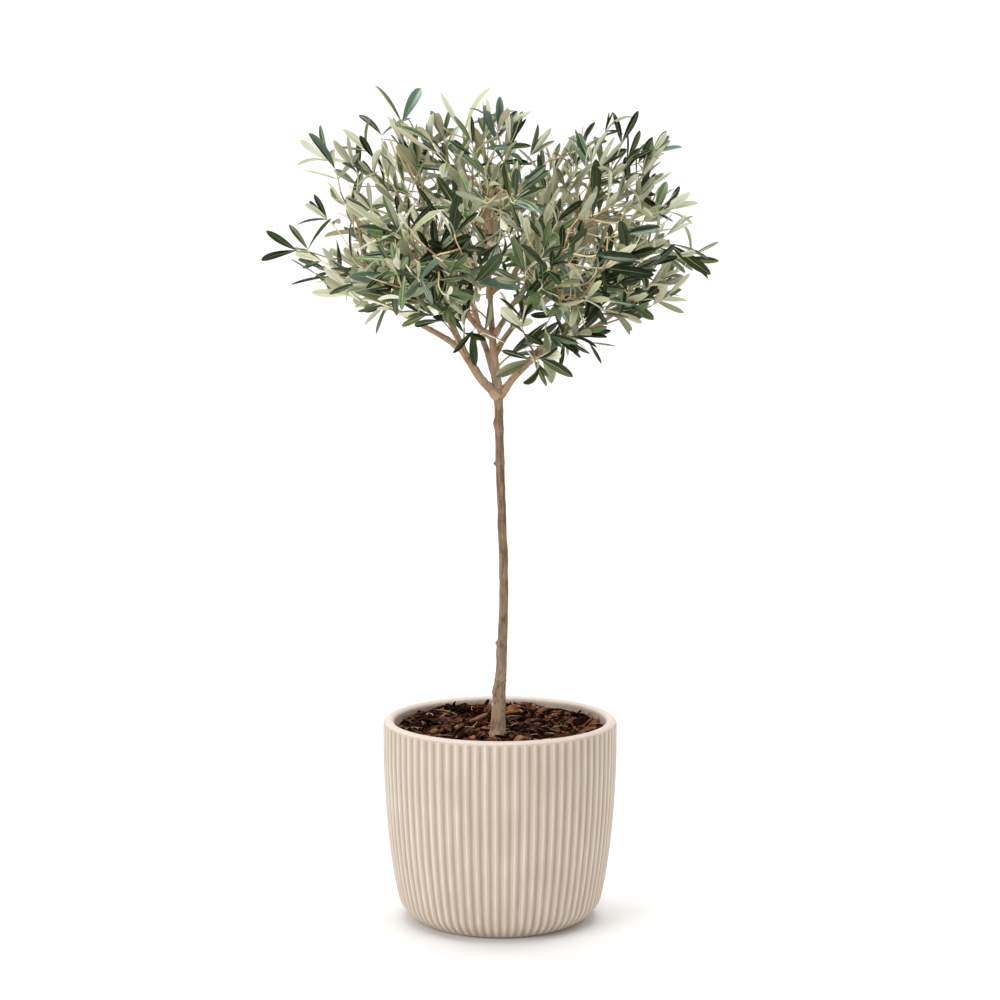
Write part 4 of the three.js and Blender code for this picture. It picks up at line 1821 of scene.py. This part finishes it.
    def add(self, target: Array, heading: Array, mass: int, leafy: bool,
            accent: Accent | None = None) -> None:
        """Grow one stem to a target from the point that costs least. A stem's first two points don't count.

        Args:
            target: Where it ends.
            heading: The way that its end points; the longer it is, the closer the end keeps to it.
            mass: The number of its mass.
            leafy: Whether it is a leafy shoot.
            accent: The accent that it is grown for, if any.
        """
        places, along, share, numbers, points = np.split(np.concatenate([
            np.column_stack([
                stem.line,
                tangents(stem.line),
                np.linspace(0.0 if stem.parent >= 0 else -0.9, 1.0, len(stem.line)),
                np.full(len(stem.line), number),
                np.arange(len(stem.line)),
            ])
            for number, stem in enumerate(self.stems) if not (leafy and stem.leafy)
        ]), (3, 6, 7, 8), axis=1)
        away = target - places
        distance = np.linalg.norm(away, axis=-1)
        facing = (away * along).sum(-1) / np.maximum(distance, 1e-6)
        usual = self.shoot_length * (accent.reach if accent else 1.0)
        wanted = usual * self.rng.uniform(0.75, 1.25) if leafy else 0.0
        cost = np.abs(distance - wanted) + self.turn_toll * np.maximum(self.straight - facing, 0.0)
        cost += self.low_toll * np.maximum(self.low_share - share[:, 0], 0.0)
        cost += self.way_back * np.linalg.norm(places - np.array(self.core), axis=-1)
        whims = self.rng.uniform(0.0, self.whim, len(cost))
        cost += whims + np.where(distance < self.near, self.near_toll, 0.0)
        best = int(np.argmin(np.where(points[:, 0] < 2, np.inf, cost)))
        start, along, straight, distance = places[best], along[best], away[best], distance[best]
        if leafy and distance > self.shoot_reach * (self.patience if accent else 1.0):
            return
        sideways = straight - (straight @ along) * along
        leave = unit(0.75 * along + 0.8 * sideways / distance + 0.3 * straight / distance)
        line = self.bend(start, leave, target, heading)
        self.stems.append(Stem(line, int(numbers[best, 0]), int(points[best, 0]), leafy, mass, accent))

    def bend(self, start: Array, leave: Array, end: Array, arrive: Array) -> Array:
        """Draw a stem as a cubic that leaves and arrives in given directions, and make it a little crooked.

        The more a direction turns away from the straight way, the less it pulls, so that no stem loops.

        Args:
            start: Where it starts.
            leave: The way it leaves.
            end: Where it ends.
            arrive: The way it arrives.

        Returns:
            The points of its middle.
        """
        chord = end - start
        straight = unit(chord)
        leave, arrive = unit(leave + 0.35 * straight), unit(arrive + 0.35 * straight)
        distance = np.linalg.norm(chord)
        pulls = [way * distance * (0.2 + 0.7 * max(way @ straight, 0.0)) for way in (leave, arrive)]
        t = np.linspace(0.0, 1.0, 40)[:, None]
        line = (
            (2 * t**3 - 3 * t**2 + 1) * start
            + (t**3 - 2 * t**2 + t) * pulls[0]
            + (3 * t**2 - 2 * t**3) * end
            + (t**3 - t**2) * pulls[1]
        )
        line = resampled(line, self.step)
        share = np.linspace(0.0, 1.0, len(line))[:, None]
        wave = self.rng.normal(0.0, self.wave, 3) * np.sin(2 * math.pi * share)
        bow = self.rng.normal(0.0, self.bow, 3) * np.sin(math.pi * share)
        return line + min(1.0, distance / self.shoot_length) * (wave + bow)

    def weigh(self) -> None:
        """Count the shoots that every point of every stem carries, from the newest stem back."""
        carried = [np.zeros(len(stem.line)) for stem in self.stems]
        for number in range(len(self.stems) - 1, -1, -1):
            stem = self.stems[number]
            own = 1.0 if stem.leafy else 0.0
            stem.load = own + np.cumsum(carried[number][::-1])[::-1]
            if stem.parent >= 0:
                carried[stem.parent][stem.joint] += max(float(stem.load[0]), self.twig_load)


# ---- twigs and leaves


@dataclass(frozen=True)
class Leaves:
    """Many leaves, each of them one row of every array: thin closed solids, long wedges with a blunt end.

    Each ring of a leaf has eight points: left edge, left half, both sides of the rib on top, right half,
    right edge, and both sides of the rib beneath. The halves are arched and their edges rolled down.

    Attributes:
        STATIONS: Where the rings lie along a leaf, as shares of its length.
        THICKNESS: The thickness of the blade.
        RIB: Half the width of the midrib, and `STALK` half that of the stalk.
        base: Where the stalk starts.
        heading: The way that the stalk points.
        face: The way that the upper side looks there.
        length: The length.
        width: The greatest width.
        blunt: How blunt the end is.
        fold: How steeply the halves rise from the rib.
        curl: The angle in radians by which the leaf bends down from stalk to tip.
        twist: The angle in radians by which the tip turns about the rib.
        upper: The tone of the upper side.
        under: The tone of the under side.
        shade: Whether one half of the upper side is painted a tone darker, as painted shade.
        mass: The number of the mass that the leaf is in.
        free: Whether it may reach out of every mass.
    """

    STATIONS: ClassVar[Array] = np.array([0.03, 0.11, 0.25, 0.41, 0.57, 0.72, 0.86, 0.95])
    THICKNESS: ClassVar[float] = 0.5 * MM
    RIB: ClassVar[float] = 0.32 * MM
    STALK: ClassVar[float] = 0.45 * MM
    base: Array
    heading: Array
    face: Array
    length: Array
    width: Array
    blunt: Array
    fold: Array
    curl: Array
    twist: Array
    upper: Array
    under: Array
    shade: Array
    mass: Array
    free: Array

    def only(self, kept: Array) -> "Leaves":
        """Those of the leaves that a mask keeps."""
        return Leaves(*(getattr(self, entry.name)[kept] for entry in fields(self)))

    @classmethod
    def together(cls, groups: "list[Leaves]") -> "Leaves":
        """All the leaves of some groups."""
        names = [entry.name for entry in fields(cls)]
        return cls(*(np.concatenate([getattr(group, name) for group in groups]) for name in names))

    def rings(self) -> Array:
        """Draw the rings flat, folded and then turned about the rib.

        The width goes with s^0.85 (1 - s^b)^0.7, where s is the share of the length from the end of the stalk
        on and b is the leaf's bluntness, so that a leaf is widest past its middle.

        Returns:
            How far every point lies to the side of the rib, and how far above it.
        """
        t = self.STATIONS
        blade = np.clip((t - 0.04) / 0.96, 0.0, 1.0)
        outline = blade**0.85 * (1.0 - blade ** self.blunt[:, None]) ** 0.7
        wide = self.width[:, None] / 2 * outline / outline.max(-1, keepdims=True) + self.STALK * (1.0 - t)
        rib = np.minimum(self.RIB * (1.15 - t), 0.45 * wide)
        rise = self.fold[:, None] * wide
        thick = self.THICKNESS * (1.1 - 0.6 * t) + 0 * wide
        zero, edge, arch = 0 * wide, rise - 0.16 * wide, 0.5 * rise + 0.1 * wide
        across = np.stack([-wide, -0.55 * wide, -rib, rib, 0.55 * wide, wide, rib, -rib], -1)
        above = np.stack([edge, arch, zero, zero, arch, edge, -thick, -thick], -1)
        turned = self.twist[:, None, None] * t[:, None]
        cosine, sine = np.cos(turned), np.sin(turned)
        return np.stack([across * cosine - above * sine, across * sine + above * cosine])

    def bent(self) -> Array:
        """Bend the leaves to an arc.

        Returns:
            The points of each leaf, from where its stalk starts: its rings, then the stalk's end and the tip.
        """
        across, above = self.rings()
        count = len(self.length)
        bend = np.where(np.abs(self.curl) < 0.02, 0.02, self.curl)[:, None]
        angle = bend * np.append(self.STATIONS, 1.0)
        forward = self.length[:, None] * np.sin(angle) / bend
        down = -self.length[:, None] * (1.0 - np.cos(angle)) / bend
        lean_x = np.sin(angle[:, :-1, None]) * above + forward[:, :-1, None]
        lean_z = np.cos(angle[:, :-1, None]) * above + down[:, :-1, None]
        tip = np.stack([forward[:, -1], 0 * forward[:, -1], down[:, -1]], -1)
        ends = np.stack([np.zeros((count, 3)), tip], 1)
        return np.concatenate([np.stack([lean_x, across, lean_z], -1).reshape(count, -1, 3), ends], 1)

    def triangles(self) -> Array:
        """List the triangles of one leaf; those beside an edge are cut so that both halves match.

        Returns:
            Its triangles, two for each quad between the rings, then those of its ends.
        """
        rings, sides = len(self.STATIONS), 8
        a, b, c, d = grid_faces(rings, sides, True).T
        from_edge = np.isin(np.arange(len(a)) % sides, (0, 1, 2, 5))
        one = np.where(from_edge, [a, c, b], [a, d, b])
        two = np.where(from_edge, [a, d, c], [b, d, c])
        ends = pole_fans(sides, (rings - 1) * sides, rings * sides)[:, [1, 0, 2]]
        return np.concatenate([np.stack([one, two]).transpose(2, 0, 1).reshape(-1, 3), ends])

    def slots(self) -> Array:
        """Choose the tint of each triangle.

        Returns:
            A row of material slots for each leaf: upper tints come first, then those beneath, then the rib's.
        """
        upper = self.upper[:, None]
        under = len(UPPER_TINTS) + self.under[:, None]
        rib = len(UPPER_TINTS) + len(UNDER_TINTS) + (self.under[:, None] >= Under.BEIGE)
        # Painted shade: on a shaded leaf the right half of the upper side takes the darker tone.
        shaded = np.where(self.shade[:, None], np.array(SHADED_TONES)[upper], upper)
        around = np.concatenate([upper, upper, rib, shaded, shaded, under, rib, under], 1)
        strips = np.tile(np.repeat(around, 2, axis=1), (1, len(self.STATIONS) - 1))
        return np.concatenate([strips, around, around], 1)

    def surface(self) -> Surface:
        """Shape them all as one surface."""
        axes = np.stack([self.heading, np.cross(self.face, self.heading), self.face], 1)
        return strewn(self.bent(), axes, self.base, [self.triangles()], self.slots())


class Side(Enum):
    """The sides of the crown, each of which is one piece of leaves."""

    LEFT = "left"
    MIDDLE = "middle"
    RIGHT = "right"

    @classmethod
    def of(cls, mass: str) -> "Side":
        """The side that a mass is on: the one in its name, or else the middle."""
        return next((side for side in (cls.LEFT, cls.RIGHT) if side.value in mass), cls.MIDDLE)


@dataclass
class Foliage:
    """The twigs and leaves on the grown stems.

    Attributes:
        growth: The grown crown.
        length: The length of a full leaf.
        sizes: The places along a stem and how long the leaves are there, as shares of that length.
        slimness: The width of a leaf, as a share of its length, from the narrowest to the widest.
        between_pairs: The distance from one pair of leaves to the next.
        spread: The angles in degrees between a stem and its first and last leaves.
        overreach: How far out of every mass a leaf may end: 1 is on the surface.
        shaded: The share of the leaves with one half painted in a darker tone, as painted shade.
        crease: The angle in degrees past which an edge of a leaf stays sharp.
        shoot_width: Half the width of a lone shoot.
        thickening: The power of the shoots it carries by which a twig thickens.
        sides: How many sides a twig has.
        seed: Seeds everything, through `rng`.
    """

    growth: Growth
    length: float = 48 * MM
    sizes: tuple[tuple[float, ...], ...] = ((0.0, 0.3, 0.75, 1.0), (0.78, 1.0, 0.98, 0.76))
    slimness: Pair = (0.14, 0.23)
    between_pairs: float = 12.5 * MM
    spread: Pair = (54.0, 26.0)
    overreach: float = 1.07
    shaded: float = 0.45
    crease: float = 38.0
    shoot_width: float = 0.84 * MM
    thickening: float = 0.36
    sides: int = 6
    seed: int = 19
    rng: Random = field(init=False)

    def build(self) -> None:
        """Make the twigs, then the leaves on them."""
        self.twigs()
        self.leaves()

    def twigs(self) -> None:
        """Make all twigs and shoots as tubes that thicken with the shoots they carry, and towards a bough."""
        parts = []
        for stem in self.growth.stems:
            if stem.parent < 0:
                continue
            share = np.linspace(0.0, 1.0, len(stem.line))
            on_bough = self.growth.stems[stem.parent].parent < 0
            radii = self.shoot_width * np.maximum(stem.load, 0.7) ** self.thickening * (1.12 - 0.34 * share)
            radii *= 1.0 + 0.4 * on_bough * (1.0 - share)
            part = tube(stem.line, radii, self.sides)
            green = Age.YOUNG if stem.leafy else Age.GROWN
            age = np.where(share[:-1] > 0.55, green, Age.GROWN)
            woody = share[:-1] < (0.8 if on_bough else 0.3)
            age = np.where((stem.load[:-1] > 1.5) | woody, Age.OLD, age)
            part.slots = [np.repeat(age, self.sides), np.repeat(age[[0, -1]], self.sides)]
            parts.append(part)
        whole = joined(parts)
        whole.layers = {}
        dress(whole.to_object("twigs", [tint.material() for tint in TWIG_TINTS]), "bark")

    def leaves(self) -> None:
        """Make every leaf, in one piece for each side of the crown."""
        self.rng = np.random.default_rng(self.seed)
        stems = [stem for stem in self.growth.stems if stem.parent >= 0]
        leaves = Leaves.together([self.on_stem(stem) for stem in stems])
        tips = leaves.base + leaves.heading * leaves.length[:, None]
        out = np.min([mass.share(tips) for mass in self.growth.masses], 0)
        leaves = leaves.only((out < self.overreach) | leaves.free)
        log.info("%d leaves on %d stems", len(leaves.length), len(stems))
        materials = [tint.material() for tint in (*UPPER_TINTS, *UNDER_TINTS, *RIB_TINTS)]
        for side in Side:
            nodes = {n: mass.name for n, mass in enumerate(self.growth.masses) if Side.of(mass.name) is side}
            part = leaves.only(np.isin(leaves.mass, list(nodes))).surface()
            piece = part.to_object(f"leaves_{side.value}", materials, self.crease)
            dress(piece, "foliage", *nodes.values())

    def nodes(self, stem: Stem) -> Array:
        """Choose where the pairs of leaves sit on a stem: closer together towards its tip.

        Args:
            stem: The stem.

        Returns:
            The distance of each pair from the stem's root.
        """
        run = float(arc_length(stem.line)[-1])
        bare = 0.16 if stem.leafy else 0.35
        spacing = self.between_pairs * (1.0 if stem.leafy else 1.5) * self.rng.uniform(0.85, 1.2)
        pairs = max(1, int(run * (1.0 - bare) / spacing))
        if stem.accent is not None:
            pairs = stem.accent.pairs
            spacing *= stem.accent.gathered
        span = min(run * (1.0 - bare), pairs * spacing)
        return run - span * (1.0 - np.linspace(0.0, 1.0, pairs + 1)[1:] ** 0.9)

    def pairs(self, stem: Stem, places: Array, share: Array) -> tuple[Array, ...]:
        """Set pairs of leaves along a stem, each pair square to the one below it.

        A leaf's face looks along the stem, a little upwards and out of the crown. On a shoot that stands out
        of the crown the last pair lies across the view from the front, and the faces look to the front.

        Args:
            stem: The stem.
            places: The distance of each pair from the stem's root.
            share: How far each leaf is from the first pair to the last.

        Returns:
            Where the leaves start, the way that they point and the way that they face.
        """
        pairs, accent = len(places), stem.accent
        count = 2 * pairs
        along, run = tangents(stem.line), arc_length(stem.line)
        base = np.stack([np.interp(places, run, stem.line[:, k]) for k in range(3)], -1)
        axis = unit(np.stack([np.interp(places, run, along[:, k]) for k in range(3)], -1))
        first, step, fan = self.rng.uniform(0.0, math.pi), math.pi / 2, 1.0
        if accent is not None:
            fan = 0.5 + 0.5 * min(accent.gathered, 1.0)
            step *= 0.9 * min(accent.gathered, 1.0)
            first = (1 - pairs) * step
        turn = first + np.arange(pairs) * step + self.rng.normal(0.0, 0.2, pairs)
        turn = np.concatenate([turn, turn + math.pi]) + self.rng.normal(0.0, 0.12, count)
        base, axis = np.tile(base, (2, 1)), np.tile(axis, (2, 1))
        side = unit(np.cross(axis, FRONT if accent else UP + np.array([0.13, 0.21, 0.0])))
        outward = np.cos(turn)[:, None] * side + np.sin(turn)[:, None] * np.cross(side, axis)
        usual = self.spread[0] - (self.spread[0] - self.spread[1]) * share**1.5
        spread = np.radians(fan * usual + self.rng.normal(0.0, 10.0, count))[:, None]
        heading = unit(np.cos(spread) * axis + np.sin(spread) * outward)
        heading = unit(heading + self.rng.normal(0.02, 0.16, (count, 1)) * UP)
        away = 0.8 * FRONT if accent else 0.35 * unit(base - np.array(self.growth.core))
        face = axis - (axis * heading).sum(-1, keepdims=True) * heading + 0.25 * UP + away
        return base, heading, face + self.rng.normal(0.0, 0.5, (count, 3))

    def bud(self, stem: Stem) -> tuple[Array, ...]:
        """Set the two young leaves of a stem's bud: where they start, and the ways they point and face.

        Args:
            stem: The stem.

        Returns:
            Their places, headings and faces.
        """
        end = tangents(stem.line)[-1:]
        apart = np.array([[0.22], [-0.22]]) * unit(np.cross(end, UP + np.array([0.3, -0.2, 0.0])))
        return np.repeat(stem.line[-1:], 2, axis=0), unit(end + apart), 0.02 * UP - apart

    def lengths(self, accent: Accent | None, share: Array) -> Array:
        """Choose the lengths of a stem's leaves.

        Args:
            accent: The accent that the stem was grown for, if any.
            share: How far each leaf is from the first pair to the last.

        Returns:
            Their lengths, then those of the bud's two leaves.
        """
        vigour = self.rng.uniform(0.78, 1.2)
        if accent is not None:
            vigour = accent.size * (0.7 + 0.3 * vigour)
        size = np.interp(share, *self.sizes) * vigour
        grown = self.length * size * self.rng.uniform(0.86, 1.1, len(share))
        young = self.length * (self.rng.uniform(0.3, 0.62, 2) + 0.15 * (accent is not None))
        return np.concatenate([grown, young])

    def on_stem(self, stem: Stem) -> Leaves:
        """Grow the leaves of one stem: its pairs and its bud. A lone pair that stands out has no bud.

        Args:
            stem: The stem.

        Returns:
            Its leaves.
        """
        places = self.nodes(stem)
        pairs, accent = len(places), stem.accent
        share = np.tile(np.linspace(0.0 if pairs > 1 else 1.0, 1.0, pairs), 2)
        along_stem = self.pairs(stem, places, share)
        length = self.lengths(accent, share)
        base, heading, face = map(np.concatenate, zip(along_stem, self.bud(stem)))
        count = len(length)
        tone = accent.tone if accent else self.rng.choice(len(SPRAYS), p=[spray.share for spray in SPRAYS])
        upper, under = (self.rng.choice(mix, count) for mix in (SPRAYS[tone].uppers, SPRAYS[tone].unders))
        leaves = Leaves(
            base,
            heading,
            face=unit(face - (face * heading).sum(-1, keepdims=True) * heading),
            length=length,
            width=length * self.rng.uniform(*self.slimness, count),
            blunt=self.rng.uniform(1.7, 3.6, count),
            fold=self.rng.uniform(0.05, 0.75, count),
            curl=self.rng.normal(0.28, 0.34, count),
            twist=self.rng.normal(0.0, 0.35, count),
            upper=upper,
            under=under,
            shade=self.rng.uniform(0.0, 1.0, count) < self.shaded,
            mass=np.full(count, stem.mass),
            free=np.full(count, accent is not None),
        )
        kept = self.rng.uniform(0.0, 1.0, count) < (0.95 if stem.leafy else 0.15)
        if accent is not None and pairs == 1:
            kept[:] = [True, True, False, False]
        return leaves.only(kept)


def main() -> None:
    """Build the plant from the pot upwards, then the studio, and report each piece."""
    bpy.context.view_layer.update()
    RibbedPot().build()
    CompostBed().build()
    framework = Framework()
    framework.build()
    growth = Growth(framework)
    growth.grow()
    Foliage(growth).build()
    Studio().build()


if __name__ == "__main__":
    logging.basicConfig(level=logging.INFO, format="%(name)s: %(message)s")
    main()
